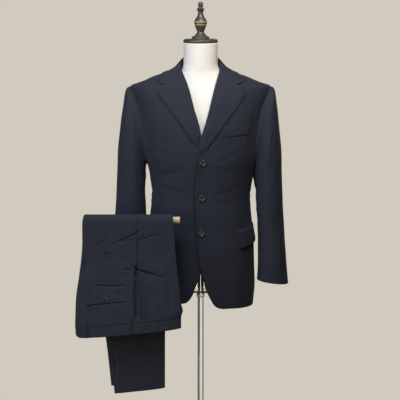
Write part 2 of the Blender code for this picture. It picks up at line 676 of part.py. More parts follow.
def sleeve_point(side, down, angle, lift=0.0):
    """A point of a sleeve's section: 0 is at its outer line, 90 in front and 180 at the inner line."""
    row = SLEEVE.at(down)
    swing = row.swing if side == "right" else 0.0
    outer = Vector((row.outer_x + swing, 0, row.outer_z))
    inner = Vector((row.inner_x + swing * INNER_SWING, 0, row.inner_z))
    middle, arm = (outer + inner) / 2, (outer - inner) / 2
    arm = arm + arm.normalized() * lift
    depth = row.half_depth + lift
    across, ahead = math.cos(math.radians(angle)), math.sin(math.radians(angle))
    power = 2 / SLEEVE_ROUNDNESS
    point = middle + arm * math.copysign(abs(across) ** power, across)
    point.y = row.middle - depth * math.copysign(abs(ahead) ** power, ahead)
    if row.armhole > 0:
        place = (angle % 360) / 360 * len(LOOP)
        k = int(place)
        on_loop = LOOP[k % len(LOOP)].lerp(LOOP[(k + 1) % len(LOOP)], place - k)
        point = point.lerp(on_loop, row.armhole)
    point.x *= mirror(side)
    return point


def sleeve_grid(side, which):
    """Rows round the top or the under sleeve between its two seams, down from the armhole."""
    grid = []
    for down in SLEEVE_STATIONS:
        back = SLEEVE_BACK_SEAM.at(down).angle
        start, end = (back - 360, SLEEVE_FRONT_SEAM) if which == "top" else (SLEEVE_FRONT_SEAM, back)
        row = [sleeve_point(side, down, angle) for angle in np.linspace(start, end, SLEEVE_COLUMNS[which])]
        grid.append(inset(row, SLEEVE_GAP / 2))
    return grid


def make_sleeves():
    LOOP.extend(armhole_loop(ARMHOLE_POINTS))
    for side in ("left", "right"):
        for which in ("top", "under"):
            sheet(f"jacket_{which}_sleeve_{side}", [sleeve_grid(side, which)], JACKET_WALL)
        make_cuff_buttons(side)


def make_cuff_buttons(side):
    for number in range(1, CUFF_BUTTONS + 1):
        down = 1 - (CUFF_FIRST + (number - 1) * CUFF_STEP) / SLEEVE_LENGTH
        angle = SLEEVE_BACK_SEAM.at(down).angle + CUFF_BUTTON_TURN
        lift = JACKET_WALL / 2 + BUTTON_SHANK + SMALL_BUTTON_THICK / 2
        place = sleeve_point(side, down, angle, lift)
        facing = place - sleeve_point(side, down, angle)
        name = f"cuff_button_{side}_{number}"
        button(name, place, facing, CUFF_BUTTON_RADIUS, SMALL_BUTTON_THICK, horn(name))


# ---- trousers ----------------------------------------------------------------------------------------------


def drape(along, offset):
    """The (y, z) of a layer at this way along the trousers and this far from the rod's axis."""
    if along < FRONT_RUN:
        return ROD_Y - offset, ROD_Z - (FRONT_RUN - along)
    if along < FRONT_RUN + TURN_RUN:
        turn = math.pi * (along - FRONT_RUN) / TURN_RUN
        return ROD_Y - offset * math.cos(turn), ROD_Z + offset * math.sin(turn)
    return ROD_Y + offset, ROD_Z - (along - FRONT_RUN - TURN_RUN)


def sloped(nominal, share, leg):
    """The way along at this share of the width: the waist and the hem both run slanting."""
    if nominal < WAIST_SLOPE_END:
        corner = WAIST_CORNER * max(0.0, 1 - share / WAIST_CORNER_SHARE) ** 2
        return nominal + (WAIST_SLOPE * share + corner) * (1 - nominal / WAIST_SLOPE_END)
    if nominal > HEM_SLOPE_START:
        below = (nominal - HEM_SLOPE_START) / (HEM_AT[leg] - HEM_SLOPE_START)
        return nominal - HEM_SLOPE * share * below
    return nominal


def leg_point(leg, nominal, x, wall, lift=0.0):
    """A point of one leg: wall is 1 on its outer side, 0 at the crease and -1 on its inner side."""
    row = LEGS.at(nominal)
    shift = row.left_shift if leg == "left" else 0.0
    share = min(max((x - row.left) / (row.right - row.left), 0.0), 1.0)
    along = sloped(nominal, share, leg)
    side = 1 if leg == "left" else -1
    crown = math.sqrt(4 * share * (1 - share))
    half = STACK_HALF - row.part + row.puff * crown
    if wall > 0:
        half += row.open * TRUNK_BULGE[leg] * crown
    middle = STACK_MIDDLE + TRUNK_SHIFT * row.open + side * (row.part + row.puff)
    offset = middle + side * (half * wall + lift)
    y, z = drape(along, offset)
    return Vector((x - shift, y, z))


def wall_columns(start, end, count):
    """x values from a seam to a crease and the wall's share there, the last two round the crease."""
    inward = math.copysign(CREASE_ROUND, start - end)
    straight = [(x, 1.0) for x in np.linspace(start, end + inward, count)]
    return straight + [(end + inward * 0.3, 0.7), (end, 0.0)]


def leg_ends(nominal, part):
    row = LEGS.at(nominal)
    gap = SEAM_GAP / 2 if part == "front" else -SEAM_GAP / 2
    return row.seam + gap, (row.right if part == "front" else row.left)


def turn_rows():
    return [FRONT_RUN + TURN_RUN * k / 8 for k in range(9)]


def make_leg_panel(leg, part):
    """A trouser front or back: its outer side from waist to hem, and its inner side below the crotch."""
    rows = TRUNK_ROWS + turn_rows() + LEG_ROWS + [HEM_AT[leg]]
    count = 4 if part == "front" else 5
    outer, inner = [], []
    for number, nominal in enumerate(rows):
        columns = wall_columns(*leg_ends(nominal, part), count)
        extra = SEAM_GAP if number == 0 else 0.0
        outer.append([leg_point(leg, nominal + extra, x, wall) for x, wall in columns])
        if number < CROTCH_ROW:
            continue
        grown = ramp(nominal, rows[CROTCH_ROW], rows[CROTCH_ROW] + INSEAM_LENGTH)
        tip = columns[-1][0]
        inner.append([
            leg_point(leg, nominal, tip + (x - tip) * grown, -wall * min(1.0, INSEAM_OPENS * grown))
            for x, wall in reversed(columns)
        ])
    sheet(f"trousers_{part}_{leg}", [outer, inner], TROUSER_WALL)


def make_waistband(leg):
    grid = []
    for nominal in (0.0, WAISTBAND - SEAM_GAP):
        back = wall_columns(*leg_ends(nominal, "back"), 5)
        front = wall_columns(*leg_ends(nominal, "front"), 4)
        grid.append([leg_point(leg, nominal, x, wall) for x, wall in back[::-1] + front[1:]])
    sheet(f"trousers_waistband_{leg}", [grid], WAISTBAND_WALL)


def at_height(leg, x, height):
    """The nominal way along of the outer wall's point in front of the rod with this x and height."""
    low, high = 0.0, 0.30
    for _ in range(30):
        middle = (low + high) / 2
        if leg_point(leg, middle, x, 1.0).z < height:
            low = middle
        else:
            high = middle
    return low


def make_trouser_trim(leg):
    for number, x in enumerate(LOOPS, 1):
        grid = [
            [leg_point(leg, LOOP_LENGTH * up, x + LOOP_WIDTH * (share - 0.5), 1.0, LOOP_LIFT)
             for share in (0.0, 0.5, 1.0)]
            for up in (0.0, 0.5, 1.0)
        ]
        sheet(f"trousers_belt_loop_{leg}_{number}", [grid], TROUSER_WALL)
    ends = list(zip(BACK_POCKET_X, BACK_POCKET_Z))
    grid = []
    for rise in (-0.5, 0.5):
        row = []
        for share in np.linspace(0, 1, 6):
            x = ends[0][0] + (ends[1][0] - ends[0][0]) * share
            z = ends[0][1] + (ends[1][1] - ends[0][1]) * share + rise * BACK_POCKET_HEIGHT
            row.append(leg_point(leg, at_height(leg, x, z), x, 1.0, TRIM_LIFT))
        grid.append(row)
    sheet(f"trousers_back_pocket_{leg}", [grid], TROUSER_WALL)
    grid = []
    for x, z in SIDE_POCKET:
        along = at_height(leg, x, z)
        grid.append([leg_point(leg, along, x + SIDE_POCKET_WIDTH * s, 1.0, TRIM_LIFT) for s in (0.1, 1.1)])
    sheet(f"trousers_side_pocket_{leg}", [grid], TROUSER_WALL)
    x, z = BACK_BUTTON
    along = at_height(leg, x, z)
    place = leg_point(leg, along, x, 1.0, TROUSER_WALL / 2 + 2 * BUTTON_SHANK + SMALL_BUTTON_THICK / 2)
    facing = place - leg_point(leg, along, x, 1.0)
    name = f"trousers_pocket_button_{leg}"
    button(name, place, facing, BACK_BUTTON_RADIUS, SMALL_BUTTON_THICK, horn(name))


def make_trousers():
    for leg in ("left", "right"):
        make_leg_panel(leg, "front")
        make_leg_panel(leg, "back")
        make_waistband(leg)
        make_trouser_trim(leg)


# ---- dress form and stand ----------------------------------------------------------------------------------


def make_form():
    """The limbless torso and neck: rings of the form's sections, closed at both ends."""
    shape = bmesh.new()
    rings = [
        [shape.verts.new(section_point(FORM, turn, height)) for turn in range(0, 360, FORM_STEP)]
        for height in FORM_HEIGHTS
    ]
    for low, high in zip(rings, rings[1:]):
        for k in range(len(low)):
            after = (k + 1) % len(low)
            shape.faces.new((low[k], low[after], high[after], high[k]))
    shape.faces.new(rings[0][::-1])
    shape.faces.new(rings[-1])
    mesh = bpy.data.meshes.new("form_torso")
    shape.to_mesh(mesh)
    shape.free()
    mesh.shade_smooth()
    add("form_torso", mesh, material("form_linen", (0.80, 0.76, 0.66), 0.9))


def make_cap_and_finial():
    wood = (0.045, 0.036, 0.030)
    cap = [(radius, NECK_TOP + up) for radius, up in CAP]
    turned("neck_cap", cap, material("cap_wood", wood, 0.45), steps=28)
    finial = [(radius, FINIAL_TOP - down) for radius, down in FINIAL]
    turned("finial", finial, material("finial_wood", wood, 0.4), steps=18)


def make_stand():
    steel = (0.55, 0.56, 0.57)
    base = [
        (0.0, BASE_BOSS), (0.0170, BASE_BOSS), (0.0185, BASE_BOSS - 0.0015), (0.0190, BASE_CROWN + 0.004),
        (0.0230, BASE_CROWN), (BASE_RADIUS - 0.010, BASE_EDGE), (BASE_RADIUS - 0.002, BASE_EDGE - 0.002),
        (BASE_RADIUS, BASE_EDGE / 2), (BASE_RADIUS - 0.001, 0.001), (BASE_RADIUS - 0.003, 0.0), (0.0, 0.0),
    ]  # from the boss round the pole, over the crown and out to the foot's rim
    turned("stand_base", base, material("base_steel", steel, 0.3, 1.0), steps=32)
    chrome = material("pole_chrome", steel, 0.12, 1.0)
    low, high = BASE_BOSS + TOUCH_GAP, FORM_BOTTOM - TOUCH_GAP
    turned("stand_pole", [(0.0, high), (POLE_RADIUS, high), (POLE_RADIUS, low), (0.0, low)], chrome)
    bore = POLE_RADIUS + TOUCH_GAP
    collar = material("collar_chrome", steel, 0.2, 1.0)
    ring("stand_collar", bore, COLLAR_RADIUS, COLLAR_LOW, COLLAR_HIGH, 0.0015, collar)
    black = (0.02, 0.02, 0.02)
    clamp = material("clamp_steel", black, 0.4, 1.0)
    ring("arm_clamp", bore, CLAMP_RADIUS, CLAMP_LOW, CLAMP_HIGH, 0.002, clamp)
    middle = (CLAMP_LOW + CLAMP_HIGH) / 2
    corners = [
        (-CLAMP_RADIUS - TOUCH_GAP, 0.0, middle), (-ARM_OUT, 0.0, middle), (-ARM_OUT, 0.0, ARM_LOW),
        (-0.088, ROD_Y, ARM_LOW), (-0.108, ROD_Y, ROD_Z - ROD_RADIUS - 2 * TOUCH_GAP),
    ]
    route = rounded(corners, ARM_BEND)
    tube("trouser_arm", route, ARM_RADIUS, material("arm_steel", black, 0.4, 1.0), bends=2)
    make_rod()


def make_rod():
    """The trouser rod: a wooden bar along X with eased ends."""
    shape = bmesh.new()
    length = ROD_RIGHT - ROD_LEFT
    bmesh.ops.create_cone(
        shape, cap_ends=True, segments=24, radius1=ROD_RADIUS, radius2=ROD_RADIUS, depth=length
    )
    rims = [edge for edge in shape.edges if abs(edge.verts[0].co.z - edge.verts[1].co.z) < 1e-6]
    bmesh.ops.bevel(shape, geom=rims, offset=0.0012, segments=1, affect="EDGES")
    mesh = bpy.data.meshes.new("trouser_rod")
    shape.to_mesh(mesh)
    shape.free()
    made = add("trouser_rod", mesh, material("rod_wood", (0.60, 0.48, 0.33), 0.5))
    made.matrix_world = Matrix.Translation(((ROD_LEFT + ROD_RIGHT) / 2, ROD_Y, ROD_Z)) @ Matrix.Rotation(
        math.pi / 2, 4, "Y"
    )


clear_scene()
make_stand()
make_form()
make_cap_and_finial()
make_body()
make_lining()
make_lapels()
make_collar()
make_pockets()
make_buttons()
make_sleeves()
make_trousers()
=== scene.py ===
"""Looks of the two-piece suit on its dress form: cloth shells with folds, materials, light and camera.

Metres, +Z up. The wearer faces -Y, so the wearer's left is at +X. The cloth's surfaces are worked out from the
same tables as the solids, on finer grids, and its folds are listed one by one. A grid of points is called P. Its
rows run along the cloth (v) and its columns across (u).
"""

import math

import bmesh
import bpy
import numpy as np
from mathutils import Matrix, Vector


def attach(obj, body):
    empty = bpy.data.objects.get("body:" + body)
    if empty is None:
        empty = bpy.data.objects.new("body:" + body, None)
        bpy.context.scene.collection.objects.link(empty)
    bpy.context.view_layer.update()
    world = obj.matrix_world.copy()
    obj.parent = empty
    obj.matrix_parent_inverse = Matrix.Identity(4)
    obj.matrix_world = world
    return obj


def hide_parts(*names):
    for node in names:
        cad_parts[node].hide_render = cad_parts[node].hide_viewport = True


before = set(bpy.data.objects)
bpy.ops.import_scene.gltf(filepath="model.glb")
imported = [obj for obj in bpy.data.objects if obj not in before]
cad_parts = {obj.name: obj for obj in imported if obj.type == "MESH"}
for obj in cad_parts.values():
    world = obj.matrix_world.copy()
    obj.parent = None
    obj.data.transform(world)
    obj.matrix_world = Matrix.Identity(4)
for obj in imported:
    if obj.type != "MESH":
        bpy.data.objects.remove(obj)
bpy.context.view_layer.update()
ROOT = "root"
SIDES = ("left", "right")

# ---- small mathematics on arrays ---------------------------------------------------------------------------


def unit(v):
    return v / np.maximum(np.linalg.norm(v, axis=-1, keepdims=True), 1e-12)


def ramp(value, start, end):
    """0 at start and beyond it, 1 at end and beyond it, and a smooth step between."""
    t = np.clip((np.asarray(value, float) - start) / (end - start), 0.0, 1.0)
    return t * t * (3 - 2 * t)


def bell(off, width):
    """1 where off is 0, next to nothing two widths away."""
    return np.exp(-((off / width) ** 2))


def between(start, end, share):
    return start + (end - start) * share


def floats(*values):
    """The values as arrays of one shape."""
    return np.broadcast_arrays(*(np.asarray(value, float) for value in values))


def stacked(*values):
    return np.stack(np.broadcast_arrays(*values), axis=-1)


def mirror(side):
    return 1 if side == "left" else -1


def signed_power(value, power):
    return np.sign(value) * np.abs(value) ** power


def run_of(points, least=0.0):
    """How far along a curve each of its points is."""
    steps = np.maximum(np.linalg.norm(np.diff(points, axis=0), axis=1), least)
    return np.concatenate([[0.0], np.cumsum(steps)])


def edge_runs(P):
    """How far each point is from the grid's four edges: first and last column, first and last row."""
    across = np.linalg.norm(np.diff(P, axis=1), axis=2)
    along = np.linalg.norm(np.diff(P, axis=0), axis=2)
    left = np.concatenate([np.zeros((len(P), 1)), np.cumsum(across, axis=1)], axis=1)
    low = np.concatenate([np.zeros((1, P.shape[1])), np.cumsum(along, axis=0)])
    return left, left[:, -1:] - left, low, low[-1:] - low


def hermite(t, gap, start, end, start_slope, end_slope):
    """The cubic between two values a gap apart, at a share t of it."""
    return (
        (2 * t**3 - 3 * t**2 + 1) * start + (t**3 - 2 * t**2 + t) * gap * start_slope
        + (3 * t**2 - 2 * t**3) * end + (t**3 - t**2) * gap * end_slope
    )


class Table:
    """Rows whose first column is the key; at() reads the others at an array of keys, with no overshoot."""

    def __init__(self, rows):
        rows = np.array(rows, float)
        self.keys, self.values = rows[:, 0], rows[:, 1:]
        gaps = np.diff(self.keys)[:, None]
        rises = np.diff(self.values, axis=0) / gaps
        slopes = np.vstack([rises[:1], 0 * rises[1:], rises[-1:]])
        for k in range(1, len(rises)):
            same = rises[k - 1] * rises[k] > 0
            before, after = 2 * gaps[k] + gaps[k - 1], gaps[k] + 2 * gaps[k - 1]
            pair = np.where(same, before * rises[k] + after * rises[k - 1], 1.0)
            slopes[k] = np.where(same, (before + after) * rises[k - 1] * rises[k] / pair, 0.0)
        self.slopes = slopes

    def at(self, key):
        key = np.clip(np.asarray(key, float), self.keys[0], self.keys[-1])
        k = np.clip(np.searchsorted(self.keys, key) - 1, 0, len(self.keys) - 2)
        gap = (self.keys[k + 1] - self.keys[k])[..., None]
        t = (key - self.keys[k])[..., None] / gap
        return hermite(t, gap, self.values[k], self.values[k + 1], self.slopes[k], self.slopes[k + 1])


def smooth_curve(points, steps=10):
    """The points with a smooth curve between them, with no overshoot."""
    points = np.array(points, float)
    run = run_of(points, 1e-9)
    keys = np.concatenate([np.linspace(a, b, steps + 1)[:-1] for a, b in zip(run, run[1:])] + [run[-1:]])
    return Table(np.column_stack([run, points])).at(keys)


# ---- tables: the forms of the solids -----------------------------------------------------------------------

JACKET_WALL, TROUSER_WALL, WAISTBAND_WALL, LINING_WALL = 0.0015, 0.001, 0.0016, 0.001
LAP = 0.0018
LAP_REACH = {"left": (-0.09, -0.045), "right": (-0.055, -0.02)}
BASE_RADIUS, BASE_EDGE, BASE_CROWN, BASE_BOSS = 0.17, 0.012, 0.018, 0.04
POLE_RADIUS = 0.0095
COLLAR_LOW, COLLAR_HIGH, COLLAR_RADIUS = 0.7217, 0.7426, 0.0125
CLAMP_LOW, CLAMP_HIGH, CLAMP_RADIUS = 0.816, 0.844, 0.0165
FORM_BOTTOM, NECK_TOP = 0.86, 1.5155
ROD_Y, ROD_Z = -0.19, 1.0015
CAP = [
    (0.0, 0.0185), (0.025, 0.0185), (0.0262, 0.017), (0.0265, 0.0115), (0.048, 0.0107), (0.0518, 0.009),
    (0.053, 0.006), (0.0525, 0.0025), (0.05, 0.0003), (0.0, 0.0003),
]
FINIAL_TOP = 1.6386
FINIAL = [
    (0.0, 0.0), (0.0045, 0.0008), (0.0074, 0.0045), (0.0078, 0.01), (0.007, 0.018), (0.01, 0.02),
    (0.012, 0.0225), (0.01, 0.0255), (0.008, 0.029), (0.0084, 0.037), (0.012, 0.046), (0.0176, 0.0545),
    (0.0193, 0.06), (0.0186, 0.068), (0.0155, 0.077), (0.0118, 0.086), (0.0106, 0.091), (0.0125, 0.095),
    (0.0168, 0.099), (0.0172, 0.1031), (0.0165, 0.1043), (0.0, 0.1043),
]
BODY = Table([  # height, half width, front, back, roundness
    (0.69, 0.163, 0.117, 0.112, 2.35),
    (0.78, 0.168, 0.124, 0.114, 2.35),
    (0.9, 0.165, 0.128, 0.108, 2.35),
    (0.97, 0.158, 0.125, 0.1, 2.35),
    (1.04, 0.153, 0.124, 0.095, 2.35),
    (1.11, 0.162, 0.129, 0.101, 2.3),
    (1.17, 0.175, 0.134, 0.11, 2.3),
    (1.25, 0.184, 0.131, 0.115, 2.25),
    (1.32, 0.196, 0.114, 0.11, 2.2),
    (1.383, 0.213, 0.0875, 0.0955, 2.1),
    (1.3925, 0.187, 0.082, 0.089, 2.08),
    (1.4008, 0.165, 0.077, 0.083, 2.05),
    (1.411, 0.141, 0.0725, 0.0775, 2.02),
    (1.42, 0.113, 0.0685, 0.073, 2.0),
    (1.4285, 0.09, 0.0645, 0.0685, 2.0),
    (1.4345, 0.074, 0.061, 0.0645, 2.0),
    (1.44, 0.06, 0.0575, 0.061, 2.0),
])
FORM = Table([
    (0.86, 0.146, 0.106, 0.094, 2.3),
    (0.95, 0.146, 0.108, 0.088, 2.3),
    (1.04, 0.139, 0.108, 0.08, 2.3),
    (1.12, 0.148, 0.114, 0.088, 2.3),
    (1.2, 0.16, 0.119, 0.098, 2.25),
    (1.28, 0.166, 0.113, 0.1, 2.2),
    (1.34, 0.17, 0.095, 0.092, 2.15),
    (1.375, 0.162, 0.076, 0.08, 2.1),
    (1.4, 0.122, 0.06, 0.065, 2.05),
    (1.418, 0.08, 0.053, 0.057, 2.0),
    (1.434, 0.0585, 0.0505, 0.053, 2.0),
    (1.455, 0.0525, 0.0505, 0.052, 2.0),
    (NECK_TOP, 0.052, 0.0505, 0.0515, 2.0),
])
TIP_HEIGHT, NECK_HEIGHT = 1.383, 1.4385
FRONT_ARMHOLE = [
    (66, 1.165), (65, 1.21), (65.5, 1.25), (67, 1.295), (71, 1.34), (78, 1.375), (90, TIP_HEIGHT),
]
BACK_ARMHOLE = [
    (118, 1.17), (119, 1.21), (119, 1.26), (117, 1.3), (112, 1.34), (103, 1.373), (90, TIP_HEIGHT),
]
UNDER_ARMHOLE = [
    (66, 1.165), (73, 1.144), (82, 1.133), (90, 1.13), (99, 1.134), (108, 1.145), (118, 1.17),
]
BACK_MIDDLE = [(180, 1.1), (180, 1.3), (180, 1.428), (155, 1.429), (118, 1.4335)]
HEM = {
    "left": Table([(15, 0.7112), (90, 0.7058), (180, 0.709)]),
    "right": Table([(15, 0.728), (90, 0.715), (180, 0.709)]),
}
FRONT_EDGE = {
    "left": [
        (0.0667, 0.7112), (0.053, 0.7152), (0.0405, 0.7255), (0.0305, 0.7434), (0.018, 0.7709),
        (0.0082, 0.8075), (0.0005, 0.836), (-0.006, 0.885), (-0.0115, 0.9498), (-0.015, 1.0564),
        (-0.0057, 1.164), (-0.0033, 1.1806), (0.0042, 1.2342), (0.0251, 1.3009), (0.0338, 1.3356),
        (0.0419, 1.3653), (0.0492, 1.3948), (0.0554, 1.4184), (0.061, 1.434),
    ],
    "right": [
        (0.0599, 0.728), (0.05, 0.7292), (0.0394, 0.7349), (0.0299, 0.7473), (0.0219, 0.7633),
        (0.0152, 0.7823), (0.006, 0.806), (-0.004, 0.835), (-0.013, 0.885), (-0.0175, 0.9498),
        (-0.018, 1.0564), (-0.018, 1.164), (-0.015, 1.19), (-0.0042, 1.2342), (0.0072, 1.2718),
        (0.0287, 1.3429), (0.0393, 1.3837), (0.0509, 1.4165), (0.06, 1.434),
    ],
}
BUTTONS = [(0.0078, 1.164), (0.0048, 1.0564), (0.003, 0.9492)]
BUTTON_RADIUS, BUTTON_THICK, BUTTON_SHANK = 0.01, 0.0034, 0.0009
LAPEL = {  # up, roll x and z, edge x and z
    "left": Table([
        (0.0, -0.0035, 1.19, 0.003, 1.1868),
        (0.12, 0.0003, 1.215, 0.024, 1.215),
        (0.25, 0.0066, 1.243, 0.043, 1.24),
        (0.45, 0.0205, 1.286, 0.0775, 1.2861),
        (0.65, 0.033, 1.3325, 0.1095, 1.328),
        (0.85, 0.047, 1.3865, 0.1275, 1.355),
        (1.0, 0.0605, 1.4318, 0.135, 1.369),
    ]),
    "right": Table([
        (0.0, -0.0004, 1.243, 0.0105, 1.212),
        (0.25, 0.0072, 1.2718, 0.039, 1.251),
        (0.5, 0.0222, 1.32, 0.076, 1.301),
        (0.8, 0.0393, 1.382, 0.119, 1.3555),
        (1.0, 0.0595, 1.4318, 0.1325, 1.37),
    ]),
}
LAPEL_SECTION = [  # share of the width, step past it, lift
    (0.0, -0.004, 0.0004), (0.0, -0.003, 0.003), (0.0, 0.0006, 0.0044), (0.2, 0.0, 0.0052),
    (0.5, 0.0, 0.0042), (0.8, 0.0, 0.0034), (1.0, 0.0, 0.003),
]
COLLAR_ROWS = [  # along, then x, y and height of the foot, the fold, two lines of the leaf and its edge
    (0.0, 0, 0.058, 1.442, 0, 0.064, 1.4745, 0, 0.07, 1.459, 0, 0.0725, 1.443,
     0, 0.074, 1.4265),
    (0.28, 0.04, 0.0425, 1.442, 0.043, 0.0475, 1.4715, 0.05, 0.053, 1.456, 0.058, 0.056, 1.44,
     0.068, 0.0575, 1.424),
    (0.55, 0.058, 0.004, 1.443, 0.0603, 0.003, 1.4615, 0.075, 0.003, 1.445, 0.092, 0.002, 1.434,
     0.1125, 0.001, 1.4238),
    (0.8, 0.06, -0.016, 1.44, 0.064, -0.016, 1.45, 0.083, -0.023, 1.437, 0.101, -0.031, 1.426,
     0.121, -0.034, 1.4158),
]
COLLAR_END = [
    (0.0575, 1.4356, 0.001), (0.0605, 1.436, 0.0042), (0.079, 1.4196, 0.005), (0.11, 1.3926, 0.004),
    (0.128, 1.3995, 0.004),
]
COLLAR_CLEAR, FOLD_ROUND = 0.0032, 0.0016
FLAP_TURNS, FLAP_TOP, FLAP_BOTTOM, FLAP_RISE, FLAP_ROUND = (41.0, 99.0), 0.9515, 0.8968, 0.0145, 0.005
FLAP_TOP_RISE, FLAP_ROUND_SHARE, FLAP_STAND, FLAP_DRAFT = 0.01, 0.065, 0.002, 1.6
WELT_CORNERS = {"low": ((0.0705, 1.2415), (0.14, 1.2465)), "high": ((0.0705, 1.2705), (0.148, 1.2755))}
PATCH_LIFT, WELT_LIFT = 0.0026, 0.002
LINING_HEIGHTS, LINING_TURN, LINING_DEPTH = (0.715, 0.98), 122, 0.003
SLEEVE = Table([  # down, outer x and z, inner x and z, middle, half depth, armhole, swing
    (0.0, 0.215, 1.3835, 0.172, 1.129, 0.0, 0.063, 1.0, 0.0),
    (0.03, 0.2235, 1.3808, 0.175, 1.1285, 0.0, 0.064, 0.48, 0.0),
    (0.07, 0.2283, 1.3728, 0.177, 1.121, -0.002, 0.068, 0.2, 0.001),
    (0.14, 0.2322, 1.334, 0.1755, 1.102, -0.004, 0.073, 0.02, 0.003),
    (0.24, 0.2395, 1.27, 0.1725, 1.076, -0.006, 0.0755, 0.0, 0.005),
    (0.36, 0.248, 1.185, 0.1725, 1.045, -0.008, 0.073, 0.0, 0.006),
    (0.48, 0.251, 1.09, 0.1755, 1.005, -0.01, 0.068, 0.0, 0.007),
    (0.6, 0.254, 1.01, 0.1775, 0.96, -0.013, 0.063, 0.0, 0.008),
    (0.74, 0.2595, 0.92, 0.1785, 0.9, -0.019, 0.057, 0.0, 0.008),
    (0.88, 0.266, 0.84, 0.178, 0.842, -0.026, 0.05, 0.0, 0.007),
    (1.0, 0.271, 0.776, 0.1755, 0.788, -0.032, 0.043, 0.0, 0.006),
])
SLEEVE_FRONT_SEAM = 128.0
ARMHOLE_MIDDLE, ARMHOLE_INSET, ARMHOLE_TUCK, ARMHOLE_POINTS = 1.2575, 0.0004, 0.0006, 240
UNDER_RISE = {"left": 0.0, "right": 0.016}
SLEEVE_ROUNDNESS, INNER_SWING, SLEEVE_LENGTH = 2.15, 0.3, 0.61
CUFF_BUTTON_TURN, SMALL_BUTTON_THICK = 24.0, 0.0028
SLEEVE_BACK_SEAM = Table([(0.0, 243.0), (0.5, 254.0), (1.0, 312.0)])
SLEEVE_INSIDE = {  # down, how far the sleeve's inner line hangs nearer to the body, and how much higher
    "left": Table([
        (0.0, 0.0, 0.0), (0.03, 0.007, 0.0), (0.07, 0.0125, 0.0), (0.14, 0.013, 0.0), (0.19, 0.0085, 0.0),
        (0.24, 0.0052, 0.0), (0.31, 0.0015, 0.0), (0.45, 0.0022, 0.0), (0.6, 0.001, 0.0), (0.74, 0.0, 0.0),
        (1.0, 0.0, 0.0),
    ]),
    "right": Table([
        (0.0, 0.0, 0.0), (0.03, 0.004, 0.014), (0.07, 0.007, 0.011), (0.14, 0.007, 0.006),
        (0.2, 0.0036, 0.002), (0.27, 0.002, 0.0), (0.37, 0.0035, 0.0), (0.48, 0.0085, 0.0),
        (0.6, 0.01, 0.0), (0.76, 0.006, 0.0), (1.0, 0.0, 0.0),
    ]),
}
WAIST_IN = Table([  # height, how much narrower the right side of the body hangs there
    (0.96, 0.0), (0.99, 0.0004), (1.011, 0.0016), (1.04, 0.0024), (1.068, 0.0055), (1.1, 0.006),
    (1.13, 0.0074), (1.16, 0.005), (1.2, 0.0),
])
BUTTON_PROFILE = [  # share of the radius, share of the thickness down from the top
    (0.0, 0.3), (0.52, 0.29), (0.62, 0.24), (0.7, 0.07), (0.78, 0.0), (0.9, 0.06), (0.975, 0.24), (1.0, 0.48),
    (0.95, 0.8), (0.78, 0.98), (0.6, 1.0), (0.0, 1.0),
]
BASE_PROFILE = [  # radius, height
    (0.0, BASE_BOSS), (0.0155, BASE_BOSS), (0.0175, BASE_BOSS - 0.0006), (0.0185, BASE_BOSS - 0.002),
    (0.0188, BASE_BOSS - 0.01), (0.0192, BASE_CROWN + 0.005), (0.0205, BASE_CROWN + 0.0015),
    (0.024, BASE_CROWN - 0.0001), (0.08, 0.0158), (BASE_RADIUS - 0.012, BASE_EDGE + 0.0004),
    (BASE_RADIUS - 0.004, BASE_EDGE - 0.0008), (BASE_RADIUS - 0.0008, BASE_EDGE - 0.0038),
    (BASE_RADIUS, BASE_EDGE / 2), (BASE_RADIUS - 0.0008, 0.0016), (BASE_RADIUS - 0.003, 0.0), (0.0, 0.0),
]
CUFF_BUTTONS, CUFF_FIRST, CUFF_STEP, CUFF_BUTTON_RADIUS = 3, 0.036, 0.0155, 0.007
FRONT_RUN, TURN_RUN = 0.3515, math.pi * 0.0138
LEGS = Table([  # along, left crease, right crease, seam, open, puff, part, left leg's shift
    (0.0, -0.3728, -0.0588, -0.176, 1.0, 0.0, 0.0002, 0.0),
    (0.034, -0.3746, -0.0585, -0.1772, 0.9, 0.0, 0.0002, 0.0),
    (0.058, -0.3736, -0.0535, -0.1784, 0.82, 0.0, 0.0002, 0.0),
    (0.082, -0.3728, -0.059, -0.18, 0.74, 0.0, 0.0002, 0.0),
    (0.107, -0.3717, -0.0602, -0.182, 0.6, 0.0, 0.0002, 0.0),
    (0.185, -0.3611, -0.069, -0.188, 0.25, 0.0, 0.0002, 0.0),
    (0.25, -0.353, -0.075, -0.189, 0.05, 0.0, 0.0016, 0.0),
    (0.29, -0.3505, -0.078, -0.189, 0.0, 0.0, 0.0016, 0.0),
    (0.34, -0.3503, -0.0812, -0.189, 0.0, 0.0, 0.0016, 0.0),
    (0.36, -0.3478, -0.0822, -0.1895, 0.0, 0.0, 0.0016, 0.0),
    (0.3732, -0.3446, -0.0828, -0.1915, 0.0, 0.0, 0.0016, 0.0),
    (0.395, -0.35, -0.084, -0.198, 0.0, 0.0, 0.0016, 0.0),
    (0.52, -0.322, -0.096, -0.203, 0.0, 0.0, 0.0016, 0.002),
    (0.62, -0.302, -0.103, -0.198, 0.0, 0.0015, 0.0016, 0.006),
    (0.76, -0.2785, -0.1075, -0.193, 0.0, 0.0045, 0.0016, 0.008),
    (0.93, -0.2605, -0.1085, -0.1845, 0.0, 0.0065, 0.0016, 0.009),
])
STACK_MIDDLE, STACK_HALF = 0.0138, 0.0024
TRUNK_SHIFT, TRUNK_BULGE = 0.012, {"left": 0.03, "right": 0.013}
WAIST_SLOPE, WAIST_CORNER, HEM_SLOPE, WAISTBAND = 0.0295, 0.008, 0.0175, 0.032
WAIST_CORNER_SHARE, WAIST_SLOPE_END, HEM_SLOPE_START = 0.05, 0.3, 0.6
HEM_AT = {"left": 0.91, "right": 0.93}
CROTCH, INSEAM_LENGTH, INSEAM_OPENS = 0.262, 0.055, 8
LOOPS = [-0.344, -0.2115]
LOOP_WIDTH, LOOP_LENGTH, LOOP_LIFT = 0.01, 0.042, 0.0026
